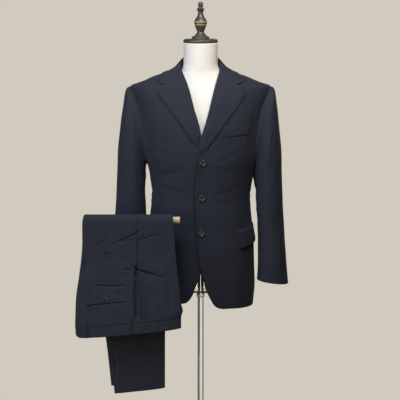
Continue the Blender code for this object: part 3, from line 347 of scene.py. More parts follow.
BACK_POCKET_X, BACK_POCKET_Z, BACK_POCKET_HEIGHT = (-0.337, -0.227), (0.748, 0.76), 0.01
BACK_BUTTON, BACK_BUTTON_RADIUS = (-0.2805, 0.774), 0.0072
SIDE_POCKET = [(-0.1845, 0.855), (-0.1745, 0.8), (-0.1695, 0.745), (-0.1675, 0.72)]
SIDE_POCKET_WIDTH, TRIM_LIFT = 0.0065, 0.0017
POCKET_EDGE = [(-0.1861, 0.8625), (-0.1753, 0.7978), (-0.17, 0.7395), (-0.1681, 0.7123)]
POCKET_BACK = [(-0.196, 0.856), (-0.1985, 0.7957), (-0.1975, 0.7102)]
SEAM_DIP, SEAM_WIDTH, SEAM_GAP, CREASE_ROUND = 0.0008, 0.003, 0.00022, 0.0012

# ---- folds, listed one by one ------------------------------------------------------------------------------
# Each: points along it, half width, depth (negative stands up), and how much a ridge stands beside it.

BODY_FOLDS = {  # points as (turn, height)
    "left": [
        ([(57, 1.335), (56, 1.25), (54, 1.15)], 0.013, 0.0026, 0.5),
        ([(46, 1.3), (47, 1.22), (45, 1.13)], 0.018, -0.0016, 0.0),
        ([(6, 1.16), (22, 1.176), (44, 1.205)], 0.008, 0.0011, 0.4),
        ([(5, 1.152), (24, 1.138), (50, 1.12)], 0.009, 0.001, 0.4),
        ([(6, 1.058), (26, 1.072), (48, 1.088)], 0.008, 0.0012, 0.4),
        ([(6, 1.05), (24, 1.036), (44, 1.016)], 0.008, 0.001, 0.4),
        ([(5, 0.948), (20, 0.952), (38, 0.965)], 0.007, 0.0008, 0.4),
        ([(102, 1.062), (84, 1.052), (62, 1.062)], 0.007, 0.0017, 0.6),
        ([(98, 1.03), (80, 1.034), (66, 1.026)], 0.006, 0.0013, 0.6),
        ([(60, 0.88), (57, 0.82), (55, 0.745)], 0.017, 0.0022, 0.4),
        ([(36, 0.86), (38, 0.8), (36, 0.735)], 0.02, -0.0016, 0.0),
        ([(92, 0.92), (95, 0.84), (96, 0.745)], 0.018, 0.0024, 0.4),
        ([(158, 1.345), (150, 1.27), (144, 1.17)], 0.014, 0.0028, 0.5),
        ([(176, 1.398), (160, 1.392), (138, 1.39)], 0.008, 0.0022, 0.5),
        ([(172, 1.08), (152, 1.07), (132, 1.08)], 0.008, 0.0015, 0.6),
        ([(170, 1.048), (148, 1.044), (128, 1.032)], 0.007, 0.0013, 0.6),
        ([(150, 0.9), (147, 0.82), (148, 0.74)], 0.02, 0.0026, 0.4),
        ([(168, 0.94), (166, 0.85), (165, 0.76)], 0.016, -0.0014, 0.0),
        ([(108, 1.12), (120, 1.1), (134, 1.105)], 0.009, 0.0014, 0.5),
    ],
    "right": [
        ([(59, 1.33), (57, 1.26), (56, 1.14)], 0.012, 0.0028, 0.5),
        ([(48, 1.28), (46, 1.2), (47, 1.14)], 0.018, -0.0014, 0.0),
        ([(8, 1.168), (28, 1.188), (47, 1.198)], 0.009, 0.001, 0.4),
        ([(10, 1.148), (30, 1.128), (54, 1.112)], 0.01, 0.0016, 0.4),
        ([(10, 1.06), (30, 1.08), (52, 1.09)], 0.008, 0.0013, 0.4),
        ([(100, 1.07), (86, 1.06), (64, 1.052)], 0.008, 0.0018, 0.6),
        ([(96, 1.036), (82, 1.044), (60, 1.034)], 0.006, 0.0015, 0.6),
        ([(62, 0.87), (60, 0.8), (62, 0.75)], 0.018, 0.0022, 0.4),
        ([(34, 0.85), (32, 0.79), (33, 0.745)], 0.018, -0.0014, 0.0),
        ([(90, 0.9), (92, 0.83), (91, 0.75)], 0.017, 0.0022, 0.4),
        ([(156, 1.35), (151, 1.28), (141, 1.19)], 0.013, 0.0026, 0.5),
        ([(174, 1.402), (158, 1.396), (140, 1.386)], 0.009, 0.002, 0.5),
        ([(173, 1.074), (150, 1.078), (134, 1.068)], 0.008, 0.0014, 0.6),
        ([(168, 1.04), (150, 1.05), (130, 1.044)], 0.006, 0.0012, 0.6),
        ([(152, 0.88), (150, 0.81), (153, 0.735)], 0.019, 0.0024, 0.4),
        ([(167, 0.95), (168, 0.86), (164, 0.77)], 0.015, -0.0013, 0.0),
        ([(106, 1.115), (121, 1.108), (132, 1.09)], 0.009, 0.0013, 0.5),
    ],
}
SLEEVE_FOLDS = {  # points as (angle, down)
    "left": [
        ([(188, 0.47), (150, 0.492), (112, 0.5)], 0.009, 0.0024, 0.7),
        ([(182, 0.535), (148, 0.52), (118, 0.548)], 0.008, 0.002, 0.7),
        ([(178, 0.625), (156, 0.64), (128, 0.662)], 0.006, 0.002, 0.8),
        ([(60, 0.15), (86, 0.215), (98, 0.32)], 0.016, 0.0022, 0.4),
        ([(30, 0.42), (48, 0.52), (62, 0.64)], 0.018, 0.002, 0.5),
        ([(48, 0.64), (55, 0.78), (62, 0.93)], 0.012, 0.0022, 0.6),
        ([(240, 0.42), (262, 0.5), (300, 0.53)], 0.012, 0.0022, 0.5),
        ([(250, 0.56), (275, 0.6), (312, 0.585)], 0.011, 0.002, 0.5),
        ([(330, 0.2), (318, 0.3), (300, 0.42)], 0.018, 0.0022, 0.4),
        ([(150, 0.18), (140, 0.26), (120, 0.35)], 0.014, 0.002, 0.5),
        ([(110, 0.72), (126, 0.8), (120, 0.9)], 0.012, 0.0014, 0.4),
    ],
    "right": [
        ([(186, 0.455), (152, 0.47), (108, 0.488)], 0.01, 0.0007, 0.7),
        ([(184, 0.52), (150, 0.535), (116, 0.53)], 0.008, 0.0005, 0.7),
        ([(62, 0.14), (84, 0.22), (100, 0.3)], 0.015, 0.0022, 0.4),
        ([(28, 0.4), (46, 0.5), (58, 0.6)], 0.018, 0.0018, 0.5),
        ([(238, 0.43), (264, 0.49), (298, 0.52)], 0.012, 0.0022, 0.5),
        ([(252, 0.55), (278, 0.59), (308, 0.6)], 0.011, 0.002, 0.5),
        ([(332, 0.22), (316, 0.31), (304, 0.43)], 0.018, 0.0022, 0.4),
        ([(148, 0.19), (142, 0.27), (124, 0.34)], 0.014, 0.002, 0.5),
        ([(112, 0.7), (124, 0.79), (118, 0.88)], 0.012, 0.0014, 0.4),
    ],
}
TRUNK_FOLDS = [  # points as (x, height), on the wall that hangs in front
    ([(-0.332, 0.8105), (-0.299, 0.8085), (-0.2691, 0.8063), (-0.24, 0.8085), (-0.21, 0.8079)],
     0.0052, 0.0034, 1.0),
    ([(-0.3077, 0.8109), (-0.3259, 0.7805), (-0.3411, 0.753)], 0.006, 0.002, 0.8),
    ([(-0.2916, 0.9139), (-0.2649, 0.9289), (-0.2055, 0.956), (-0.1474, 0.9944)], 0.004, 0.0017, 1.0),
    ([(-0.308, 0.92), (-0.29, 0.94), (-0.2684, 0.956)], 0.004, 0.002, 0.9),
    ([(-0.2896, 0.9139), (-0.276, 0.893), (-0.2595, 0.8752)], 0.0036, 0.0028, 0.9),
    ([(-0.196, 0.941), (-0.1524, 0.953), (-0.1308, 0.9599), (-0.112, 0.961)], 0.0038, 0.0022, 1.0),
    ([(-0.148, 0.9975), (-0.14, 0.978), (-0.1308, 0.9599)], 0.003, 0.0014, 0.9),
    ([(-0.256, 1.003), (-0.242, 0.999), (-0.2303, 0.9944)], 0.003, 0.0012, 0.9),
    ([(-0.1143, 0.8791), (-0.101, 0.905), (-0.086, 0.924)], 0.0036, 0.0012, 0.8),
    ([(-0.179, 0.85), (-0.155, 0.8435), (-0.13, 0.8385), (-0.0956, 0.827)], 0.0055, 0.0034, 1.0),
    ([(-0.205, 0.859), (-0.179, 0.8515), (-0.16, 0.8465), (-0.13, 0.84)], 0.0085, 0.0062, 0.7),
    ([(-0.208, 0.87), (-0.193, 0.86), (-0.193, 0.84), (-0.196, 0.82)], 0.0065, 0.004, 0.5),
    ([(-0.136, 0.812), (-0.128, 0.785), (-0.1149, 0.756)], 0.0042, 0.0016, 0.8),
    ([(-0.23, 0.8575), (-0.215, 0.8555), (-0.2013, 0.854)], 0.004, 0.0022, 0.9),
    ([(-0.255, 0.796), (-0.242, 0.784), (-0.223, 0.783)], 0.0045, 0.0014, 0.8),
    ([(-0.296, 0.905), (-0.25, 0.895), (-0.208, 0.87)], 0.0055, 0.0012, 0.7),
    ([(-0.25, 0.935), (-0.215, 0.942), (-0.193, 0.942)], 0.004, 0.0012, 0.7),
    ([(-0.31, 0.742), (-0.295, 0.723), (-0.29, 0.705)], 0.007, 0.0016, 0.6),
    ([(-0.252, 0.745), (-0.248, 0.725), (-0.256, 0.705)], 0.007, 0.0014, 0.6),
    ([(-0.356, 0.83), (-0.344, 0.865), (-0.336, 0.905)], 0.008, 0.0016, 0.6),
    ([(-0.152, 0.805), (-0.15, 0.77), (-0.147, 0.725)], 0.01, 0.0016, 0.5),
    ([(-0.098, 0.815), (-0.092, 0.77), (-0.094, 0.715)], 0.011, 0.0018, 0.5),
    ([(-0.3, 0.875), (-0.295, 0.85), (-0.305, 0.828)], 0.008, 0.0012, 0.6),
    ([(-0.177, 0.91), (-0.16, 0.885), (-0.165, 0.86)], 0.008, 0.0014, 0.6),
    ([(-0.24, 0.83), (-0.225, 0.842), (-0.205, 0.838)], 0.006, 0.0016, 0.7),
]
LEG_FOLDS = {  # points as (x, way along), on the wall behind the rod
    "right": [
        ([(-0.2766, 0.77), (-0.264, 0.808), (-0.2575, 0.84), (-0.256, 0.91)], 0.005, 0.0018, 0.9),
        ([(-0.145, 0.66), (-0.15, 0.76), (-0.148, 0.88)], 0.016, 0.0014, 0.4),
        ([(-0.23, 0.62), (-0.22, 0.72), (-0.226, 0.86)], 0.014, 0.0014, 0.4),
        ([(-0.19, 0.44), (-0.15, 0.47), (-0.12, 0.465)], 0.008, 0.0014, 0.5),
    ],
    "left": [
        ([(-0.32, 0.47), (-0.26, 0.49), (-0.21, 0.475)], 0.008, 0.0018, 0.6),
        ([(-0.14, 0.53), (-0.19, 0.57), (-0.25, 0.565)], 0.008, 0.0016, 0.6),
        ([(-0.23, 0.63), (-0.224, 0.73), (-0.226, 0.87)], 0.015, 0.0018, 0.4),
        ([(-0.14, 0.65), (-0.144, 0.76), (-0.142, 0.86)], 0.015, 0.0016, 0.4),
        ([(-0.33, 0.415), (-0.29, 0.44), (-0.27, 0.48)], 0.007, 0.0014, 0.6),
    ],
}


# ---- places on the jacket's body ---------------------------------------------------------------------------


def section(table, turn, height):
    """Points of a body's level sections: turn is 0 in front, 90 at the wearer's left."""
    row = table.at(height)
    across, ahead = np.sin(np.radians(turn)), np.cos(np.radians(turn))
    power = 2 / row[..., 3]
    x = row[..., 0] * signed_power(across, power)
    y = -np.where(ahead > 0, row[..., 1], row[..., 2]) * signed_power(ahead, power)
    return stacked(x, y, height)


def on_body(turn, height):
    return section(BODY, turn, height)


def body_normal(turn, height):
    step, rise = 0.4, 0.0015
    low, high = np.maximum(height - rise, BODY.keys[0]), np.minimum(height + rise, BODY.keys[-1])
    round_it = on_body(turn + step, height) - on_body(turn - step, height)
    return unit(np.cross(round_it, on_body(turn, high) - on_body(turn, low)))


def turn_at(x, height):
    row = BODY.at(height)
    share = np.minimum(np.abs(x) / row[..., 0], 1.0) ** (row[..., 3] / 2)
    return np.sign(x) * np.degrees(np.arcsin(share))


def spaced(curve, count):
    """A curve of (turn, height) resampled evenly by its length on the body."""
    run = run_of(on_body(curve[:, 0], curve[:, 1]))
    wanted = np.linspace(0, run[-1], count)
    return np.column_stack([np.interp(wanted, run, column) for column in curve.T])


# The body's flat coordinates: how far round from the front centre, and how far up from the lowest section.
GRID_HEIGHTS = np.linspace(BODY.keys[0], BODY.keys[-1], 301)
GIRTH, _, RISE, _ = edge_runs(on_body(np.linspace(0, 180, 181)[None, :], GRID_HEIGHTS[:, None]))


def looked_up(grid, turn, height):
    t = np.clip(np.abs(turn), 0, 179.999)
    h = np.clip((height - GRID_HEIGHTS[0]) / (GRID_HEIGHTS[1] - GRID_HEIGHTS[0]), 0, 299.999)
    i, j = h.astype(int), t.astype(int)
    a, b = h - i, t - j
    return (
        grid[i, j] * (1 - a) * (1 - b) + grid[i + 1, j] * a * (1 - b)
        + grid[i, j + 1] * (1 - a) * b + grid[i + 1, j + 1] * a * b
    )


def flat_on_body(turn, height):
    """Flat (u, v) of body points, in metres."""
    turn, height = floats(turn, height)
    return np.sign(turn) * looked_up(GIRTH, turn, height), looked_up(RISE, turn, height)


# ---- relief: how far cloth stands off its plain form -------------------------------------------------------


def fold(u, v, line, width, depth, ridge):
    """The height field of one soft fold along a line of flat points: a trough with a ridge on one side."""
    u, v = floats(u, v)
    lengths, run = np.linalg.norm(np.diff(line, axis=0), axis=1), run_of(line)
    best, side, along = np.full(u.shape, 1e9), np.ones(u.shape), np.zeros(u.shape)
    for a, b, length, start in zip(line, line[1:], lengths, run):
        du, dv = (b - a) / length
        t = np.clip((u - a[0]) * du + (v - a[1]) * dv, 0, length)
        off_u, off_v = u - a[0] - du * t, v - a[1] - dv * t
        off = np.hypot(off_u, off_v)
        near = off < best
        best = np.where(near, off, best)
        side = np.where(near, np.where(du * off_v - dv * off_u < 0, -1.0, 1.0), side)
        along = np.where(near, (start + t) / run[-1], along)
    fade = ramp(along, 0.0, 0.32) * ramp(1 - along, 0.0, 0.32)
    s = side * best / (width * (0.65 + 0.35 * fade))
    return depth * fade * (0.55 * ridge * np.exp(-((s - 1.75) ** 2) / 0.9) - np.exp(-(s**2)))


def lines_of(folds, flat=lambda u, v: (u, v)):
    """The folds, their points made smooth lines in flat coordinates."""
    found = []
    for points, *shape in folds:
        line = smooth_curve(points, 5)
        found.append((np.column_stack(flat(line[:, 0], line[:, 1])), *shape))
    return found


def undulation(u, v, size=1.0):
    """Broad, shallow waves that no real cloth is without."""
    return size * (
        0.00055 * np.sin(2 * np.pi * (u / 0.121 + 0.35 * np.sin(v / 0.11))) * np.sin(2 * np.pi * v / 0.37 + 1.0)
        + 0.00035 * np.sin(2 * np.pi * (u / 0.063 + v / 0.41) + 2.0) * np.sin(2 * np.pi * v / 0.23 + 0.4)
        + 0.00022 * np.sin(2 * np.pi * (u / 0.21 - v / 0.092) + 0.7)
    )


def dips(P, seams, depth=SEAM_DIP):
    """Valleys at the named edges ("u0", "u1", "v0", "v1"), where pieces are sewn together."""
    found = np.zeros(P.shape[:2])
    for run, name in zip(edge_runs(P), ("u0", "u1", "v0", "v1")):
        if name in seams:
            found = found - depth * bell(run, SEAM_WIDTH)
    return found


BODY_LINES = {side: lines_of(BODY_FOLDS[side], flat_on_body) for side in SIDES}


def narrower(turn, height):
    """How far the body's right side hangs inside its plain form."""
    return np.where(turn < 0, WAIST_IN.at(height)[..., 0] * bell(np.abs(turn) - 90, 24), 0.0)


def padding(turn, height):
    """How far the shoulders' pads lift the cloth above its plain form, the right one more."""
    return np.where(turn < 0, 0.0034, 0.0015) * bell(np.abs(turn) - 90, 26) * bell(height - 1.415, 0.022)


def body_relief(turn, height):
    """How far the jacket's cloth stands off its plain form there; the same for all that lies on it."""
    turn, height = floats(turn, height)
    u, v = flat_on_body(np.abs(turn), height)
    sign = np.where(turn < 0, -1, 1)
    found = undulation(sign * u, v)
    for side in SIDES:
        mine = sign == mirror(side)
        if mine.any():
            found = found + np.where(mine, sum(fold(u, v, *line) for line in BODY_LINES[side]), 0.0)
    calm = 1 - 0.75 * ramp(np.abs(turn), 14, 4) * ramp(height, 0.86, 0.93)
    return found * calm * (1 - 0.6 * ramp(height, 1.395, 1.43)) - narrower(turn, height) + padding(turn, height)


def lap_of(side, turn, height):
    """The fronts part where they overlap, the left one outside."""
    return mirror(side) * LAP * ramp(-mirror(side) * on_body(turn, height)[..., 0], *LAP_REACH[side])


def front_point(side, turn, height, lift=0.0):
    turn, height = floats(turn, height)
    out = lap_of(side, turn, height) + body_relief(turn, height) + lift
    return on_body(turn, height) + body_normal(turn, height) * np.asarray(out)[..., None]


def on_front(side, x, height, lift=0.0):
    x, height = floats(x, height)
    return front_point(side, turn_at(mirror(side) * x, height), height, lift)


# ---- making meshes -----------------------------------------------------------------------------------------


def grid_normals(P):
    N = np.cross(np.gradient(P, axis=1), np.gradient(P, axis=0))
    weak = np.linalg.norm(N, axis=-1) < 1e-14
    N = unit(N)
    if weak.any():
        N[weak] = unit(N[~weak].mean(axis=0))
    return N


def add_object(name, data):
    made = bpy.data.objects.new(name, data)
    bpy.context.scene.collection.objects.link(made)
    return made


def mesh_object(name, points, faces, look, uvs=None):
    mesh = bpy.data.meshes.new(name)
    mesh.from_pydata(np.asarray(points, float).tolist(), [], faces)
    if uvs is not None:
        layer = mesh.uv_layers.new(name="UVMap")
        corner = np.empty(len(mesh.loops), np.int32)
        mesh.loops.foreach_get("vertex_index", corner)
        layer.data.foreach_set("uv", np.asarray(uvs, np.float32)[corner].reshape(-1))
    mesh.materials.append(look)
    mesh.shade_smooth()
    return add_object(name, mesh)


def shell(name, P, uv, wall, look, outward, mask=None):
    """A closed cloth shell round the grid of points, with rounded edges. outward gives its outer side."""
    rows, columns = P.shape[:2]
    N = grid_normals(P)
    flipped = float((N * outward).sum()) < 0
    if flipped:
        N = -N
    index = np.arange(rows * columns).reshape(rows, columns)
    quads = np.stack([index[:-1, :-1], index[:-1, 1:], index[1:, 1:], index[1:, :-1]], axis=-1)
    quads = quads[mask] if mask is not None else quads.reshape(-1, 4)
    if flipped:
        quads = quads[:, ::-1]
    points, normals, flat = P.reshape(-1, 3), N.reshape(-1, 3), uv.reshape(-1, 2)
    ends = np.concatenate([quads[:, [k, (k + 1) % 4]] for k in range(4)])
    keys = np.sort(ends, axis=1)
    _, first, count = np.unique(keys[:, 0] * (rows * columns) + keys[:, 1], return_index=True, return_counts=True)
    border = ends[first[count == 1]]
    outs = np.zeros_like(points)
    sideways = np.cross(unit(points[border[:, 1]] - points[border[:, 0]]), normals[border[:, 0]])
    np.add.at(outs, border[:, 0], sideways)
    np.add.at(outs, border[:, 1], sideways)
    used, rim = np.unique(quads), np.unique(border)
    place, at_rim = np.full(rows * columns, -1), np.full(rows * columns, -1)
    place[used] = np.arange(len(used))
    at_rim[rim] = 2 * len(used) + np.arange(len(rim))
    outer = points[used] + normals[used] * wall / 2
    inner = points[used] - normals[used] * wall / 2
    middle = points[rim] + unit(outs[rim]) * wall * 0.45
    a, b = border[:, 0], border[:, 1]
    faces = np.concatenate([
        place[quads],
        place[quads][:, ::-1] + len(used),
        np.stack([place[a], at_rim[a], at_rim[b], place[b]], axis=1),
        np.stack([at_rim[a], place[a] + len(used), place[b] + len(used), at_rim[b]], axis=1),
    ])
    all_uv = np.concatenate([flat[used], flat[used], flat[rim]])
    return mesh_object(name, np.concatenate([outer, inner, middle]), faces.tolist(), look, all_uv)


def cut_of(P, mask=None):
    """The width, length and area of the cloth of a grid, laid flat."""
    across = np.linalg.norm(np.diff(P, axis=1), axis=2)
    along = np.linalg.norm(np.diff(P, axis=0), axis=2)
    cells = (across[:-1] + across[1:]) / 2 * (along[:, :-1] + along[:, 1:]) / 2
    if mask is not None:
        cells, across, along = cells * mask, across[:-1] * mask, along[:, :-1] * mask
    return across.sum(axis=1).max(), along.sum(axis=0).max(), cells.sum()


LEAST_SIDE, LEAST_AREA_SHARE = 0.0101, 0.31  # of a piece's stated cut
# Lines of near-black thread, by slot, laid under free edges and in seams as painted shadow.
PAINTED_SHADOW_LINES = {}


def painted_shadow_line(slot, points, radius):
    """Keeps a line for a near-black thread laid under a free edge or in a seam: painted shadow, a dark line where the
    edge's shade falls.
    """
    PAINTED_SHADOW_LINES.setdefault(slot, []).append((points, radius))


def riding(made, slot, *nodes):
    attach(made, ROOT)
    if nodes:
        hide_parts(*nodes)
    return made


def cloth(name, P, uv, outward, plain, wall=JACKET_WALL, look=None, held="draped", rests_on="form_torso", mask=None):
    """A cloth piece that replaces the node of its name. Its cut is worked out from the plain form, and not used
    further.
    """
    made = riding(shell(name + "_cloth", P, uv, wall, look or JACKET_WOOL, outward, mask), name, name)
    width, length, area = cut_of(plain, mask)
    width, length = max(width, LEAST_SIDE), max(length, LEAST_SIDE)
    area = max(min(area, width * length), LEAST_AREA_SHARE * width * length)
    rests_on = [rests_on] if isinstance(rests_on, str) else list(rests_on)


def lathe(name, profile, look, segments):
    """A solid turned about the pole's axis from (radius, height) points, top middle to bottom middle."""
    profile = np.array(profile, float)
    turns = np.linspace(0, 2 * np.pi, segments, endpoint=False)
    points, uvs, faces, rings = [], [], [], []
    for (radius, height), way in zip(profile, run_of(profile)):
        count = 1 if radius < 1e-7 else segments
        rings.append((len(points) + np.arange(segments) % count).tolist())
        points += [(radius * math.cos(turn), radius * math.sin(turn), height) for turn in turns[:count]]
        uvs += [(turn * radius, way) for turn in turns[:count]]
    for high, low in zip(rings, rings[1:]):
        for k in range(segments):
            n = (k + 1) % segments
            faces.append(list(dict.fromkeys((high[k], low[k], low[n], high[n]))))
    return mesh_object(name, points, faces, look, uvs)


def fine_profile(profile, steps):
    """The same turned profile with rounded steps between its points."""
    points = np.array(profile, float)
    run = run_of(points, 1e-6)
    slopes = 0.8 * np.gradient(points, run, axis=0)
    k = np.repeat(np.arange(len(points) - 1), steps)
    t = np.tile(np.linspace(0, 1, steps, endpoint=False), len(points) - 1)[:, None]
    out = hermite(t, np.diff(run)[k][:, None], points[k], points[k + 1], slopes[k], slopes[k + 1])
    out = np.vstack([out, points[-1:]])
    out[1:-1, 0] = np.maximum(out[1:-1, 0], 1e-4)
    return out


def wrapped_faces(rows, columns, wrap_rows):
    """Quads of rows of points that each close on themselves; the last row may join the first."""
    faces = []
    for r in range(rows if wrap_rows else rows - 1):
        for k in range(columns):
            here, up, n = r * columns, (r + 1) % rows * columns, (k + 1) % columns
            faces.append((here + k, here + n, up + n, up + k))
    return faces


# ---- materials ---------------------------------------------------------------------------------------------


class Tree:
    """A node tree, built line by line. Its values are numbers, colours or other nodes' sockets."""

    def __init__(self, tree):
        self.tree = tree

    def link(self, value, socket):
        if isinstance(value, bpy.types.NodeSocket):
            self.tree.links.new(value, socket)
        elif isinstance(value, tuple) and len(value) < len(socket.default_value):
            socket.default_value = (*value, 1.0)
        else:
            socket.default_value = value

    def node(self, kind, inputs=(), **settings):
        made = self.tree.nodes.new("ShaderNode" + kind)
        for key, value in settings.items():
            setattr(made, key, value)
        for name, value in dict(inputs).items():
            self.link(value, made.inputs[name])
        return made

    def scaled(self, vector, scale, rotation=(0, 0, 0)):
        return self.node("Mapping", {"Vector": vector, "Scale": scale, "Rotation": rotation}).outputs["Vector"]

    def noise(self, vector, scale, detail=3.0, rough=0.5, distortion=0.0):
        inputs = {"Vector": vector, "Scale": scale, "Detail": detail, "Roughness": rough, "Distortion": distortion}
        return self.node("TexNoise", inputs).outputs["Fac"]

    def grain(self, vector, scale, *settings):
        """Noise of another scale each way."""
        return self.noise(self.scaled(vector, scale), 1.0, *settings)

    def wave(self, vector, scale, direction, distortion, detail):
        inputs = {"Vector": vector, "Scale": scale, "Distortion": distortion, "Detail": detail}
        return self.node("TexWave", inputs, bands_direction=direction).outputs["Fac"]

    def math(self, operation, *values):
        return self.node("Math", enumerate(values), operation=operation).outputs[0]

    def plus(self, a, b):
        return self.math("ADD", a, b)

    def times(self, a, b):
        return self.math("MULTIPLY", a, b)

    def away(self, value, middle):
        return self.math("ABSOLUTE", self.math("SUBTRACT", value, middle))

    def reach(self, value, low, high, to_low=0.0, to_high=1.0):
        """to_low up to low, to_high from high on, and a smooth step between."""
        inputs = enumerate((value, low, high, to_low, to_high))
        return self.node("MapRange", inputs, interpolation_type="SMOOTHSTEP").outputs[0]

    def mix(self, share, a, b):
        return self.node("Mix", {0: share, 6: a, 7: b}, data_type="RGBA").outputs[2]

    def axes(self, vector):
        return self.node("SeparateXYZ", {0: vector}).outputs

    def bump(self, height, strength, distance):
        return self.node("Bump", {"Height": height, "Strength": strength, "Distance": distance}).outputs["Normal"]


class Look(Tree):
    """A material's tree; done() sets its shader's inputs and returns the material."""

    def __init__(self, name):
        self.material = bpy.data.materials.new(name)
        self.material.use_nodes = True
        super().__init__(self.material.node_tree)

    def uv(self):
        return self.node("UVMap", uv_map="UVMap").outputs["UV"]

    def place(self):
        return self.node("TexCoord").outputs["Object"]

    def done(self, **inputs):
        shader = self.tree.nodes["Principled BSDF"]
        for key, value in inputs.items():
            name = key.replace("_", " ").title().replace("Ior", "IOR")
            self.link(value, shader.inputs[name])
        return self.material


def shade(colour, factor):
    return tuple(factor * c for c in colour)


def wool(name, colour, stripe_pitch):
    """Navy worsted: a fine twill with a melange, and a broken shadow stripe along the cloth's length."""
    n = Look(name)
    uv = n.uv()
    wander = n.times(n.grain(uv, (30, 6, 1), 2.0), 0.0006)
    off = n.math("PINGPONG", n.plus(n.axes(uv)[0], wander), stripe_pitch / 2)
    stripe = n.reach(off, 0.00015, 0.0011, 1.0, 0.0)
    second = n.reach(n.away(off, stripe_pitch * 0.36), 0.0001, 0.0007, 1.0, 0.0)
    dots = n.reach(n.grain(uv, (900, 240, 1), 2.0, 0.6), 0.36, 0.62)
    stripe = n.times(stripe, n.math("MULTIPLY_ADD", dots, 0.6, 0.4))
    stripe = n.times(stripe, n.reach(n.grain(uv, (95, 5, 1), 1.0), 0.3, 0.66, 0.3, 1.0))
    melange = n.grain(uv, (1500, 700, 1), 4.0, 0.7)
    cloud = n.grain(uv, (17, 9, 1), 4.0, 0.6, 0.3)
    base = n.mix(n.reach(melange, 0.3, 0.7), shade(colour, 0.62), shade(colour, 1.42))
    base = n.mix(n.times(stripe, 0.4), base, shade(colour, 2.0))
    base = n.mix(n.times(second, 0.3), base, shade(colour, 0.45))
    base = n.mix(n.reach(cloud, 0.3, 0.72, 0.0, 0.22), base, shade(colour, 1.55))
    twill = n.wave(n.scaled(uv, (1, 1, 1), (0, 0, math.radians(27))), 210.0, "X", 0.6, 1.0)
    fuzz = n.grain(uv, (2600, 1900, 1), 2.0)
    height = n.plus(n.math("MULTIPLY_ADD", twill, 0.6, n.times(fuzz, 0.5)), n.times(stripe, 0.5))
    return n.done(
        base_color=base, roughness=n.reach(cloud, 0.2, 0.8, 0.78, 0.9), specular_ior_level=0.1, sheen_weight=0.05,
        sheen_roughness=0.45, sheen_tint=(0.62, 0.72, 1.0), normal=n.bump(height, 0.35, 0.00025),
    )


def linen():
    """The form's cover: ivory linen, its threads uneven, a little darker in patches where it was handled."""
    n = Look("form_linen")
    at = n.place()
    weave_a = n.wave(n.scaled(at, (1, 1, 1)), 260.0, "Z", 1.6, 2.0)
    weave_b = n.wave(n.scaled(at, (1.0, 0.9, 1.0)), 250.0, "X", 1.6, 2.0)
    slub = n.grain(at, (160, 160, 900))
    cloud = n.noise(at, 9.0, 5.0, 0.6)
    base = n.mix(n.reach(slub, 0.35, 0.7), (0.8, 0.777, 0.71), (0.84, 0.82, 0.758))
    base = n.mix(n.reach(cloud, 0.35, 0.8, 0.0, 0.22), base, (0.745, 0.705, 0.615))
    height = n.plus(n.times(weave_a, weave_b), n.times(slub, 0.4))
    return n.done(
        base_color=base, roughness=n.reach(slub, 0.3, 0.7, 0.82, 0.93), specular_ior_level=0.2, sheen_weight=0.08,
        normal=n.bump(height, 0.22, 0.0002),
    )


def lining_satin():
    n = Look("back_lining_satin")
    uv = n.uv()
    threads, cloud = n.grain(uv, (1400, 60, 1)), n.grain(uv, (14, 10, 1))
    base = n.mix(n.reach(threads, 0.3, 0.7), (0.62, 0.555, 0.465), (0.7, 0.645, 0.56))
    base = n.mix(n.reach(cloud, 0.3, 0.8, 0.0, 0.4), base, (0.55, 0.48, 0.39))
    return n.done(
        base_color=base, roughness=n.reach(cloud, 0.2, 0.8, 0.36, 0.5), sheen_weight=0.15,
        normal=n.bump(threads, 0.2, 0.0002),
    )


def dark_wood(name, gold=()):
    """Turned dark wood, golden on the named bands: (height, half width)."""
    n = Look(name)
    at = n.place()
    grain = n.grain(at, (90, 90, 14), 5.0, 0.6, 0.6)
    fine = n.grain(at, (700, 700, 60))
    base = n.mix(n.reach(grain, 0.3, 0.72), (0.016, 0.0125, 0.0105), (0.07, 0.054, 0.043))
    base = n.mix(n.reach(fine, 0.45, 0.75, 0.0, 0.35), base, (0.1, 0.08, 0.062))
    patches = n.noise(at, 120.0, 4.0, 0.65)
    if gold:
        up = n.axes(at)[2]
        bands = [
            n.times(n.reach(n.away(up, height), half * 0.35, half, 1.0, 0.0), n.reach(patches, 0.3, 0.52, 0.35, 1.0))
            for height, half in gold
        ]
        base = n.mix(n.math("MAXIMUM", *bands), base, (0.36, 0.25, 0.115))
    return n.done(
        base_color=base, roughness=n.reach(patches, 0.25, 0.75, 0.3, 0.52), specular_ior_level=0.5,
        coat_weight=0.25, coat_roughness=0.22, normal=n.bump(n.plus(grain, n.times(fine, 0.5)), 0.25, 0.0004),
    )


def pale_wood():
    n = Look("rod_pale_wood")
    at = n.place()
    grain = n.grain(at, (9, 160, 160), 5.0, 0.6, 1.2)
    pores = n.grain(at, (60, 1500, 1500), 2.0)
    base = n.mix(n.reach(grain, 0.3, 0.7), (0.46, 0.335, 0.205), (0.72, 0.6, 0.44))
    base = n.mix(n.reach(pores, 0.56, 0.72, 0.0, 0.5), base, (0.3, 0.2, 0.11))
    return n.done(
        base_color=base, roughness=n.reach(grain, 0.2, 0.8, 0.36, 0.52), coat_weight=0.15, coat_roughness=0.3,
        normal=n.bump(n.plus(grain, pores), 0.15, 0.0003),
    )


def metal(name, colour, rough, brushed, metallic=1.0):
    n = Look(name)
    at = n.place()
    lines, smears = n.grain(at, brushed), n.noise(at, 26.0, 4.0, 0.6)
    spread = n.plus(n.reach(lines, 0.3, 0.7, rough * 0.7, rough * 1.2), n.reach(smears, 0.5, 0.8, 0.0, rough * 0.5))
    return n.done(
        base_color=n.mix(n.reach(smears, 0.3, 0.8), shade(colour, 0.9), colour), metallic=metallic,
        roughness=spread, normal=n.bump(lines, 0.05, 0.0001),
    )


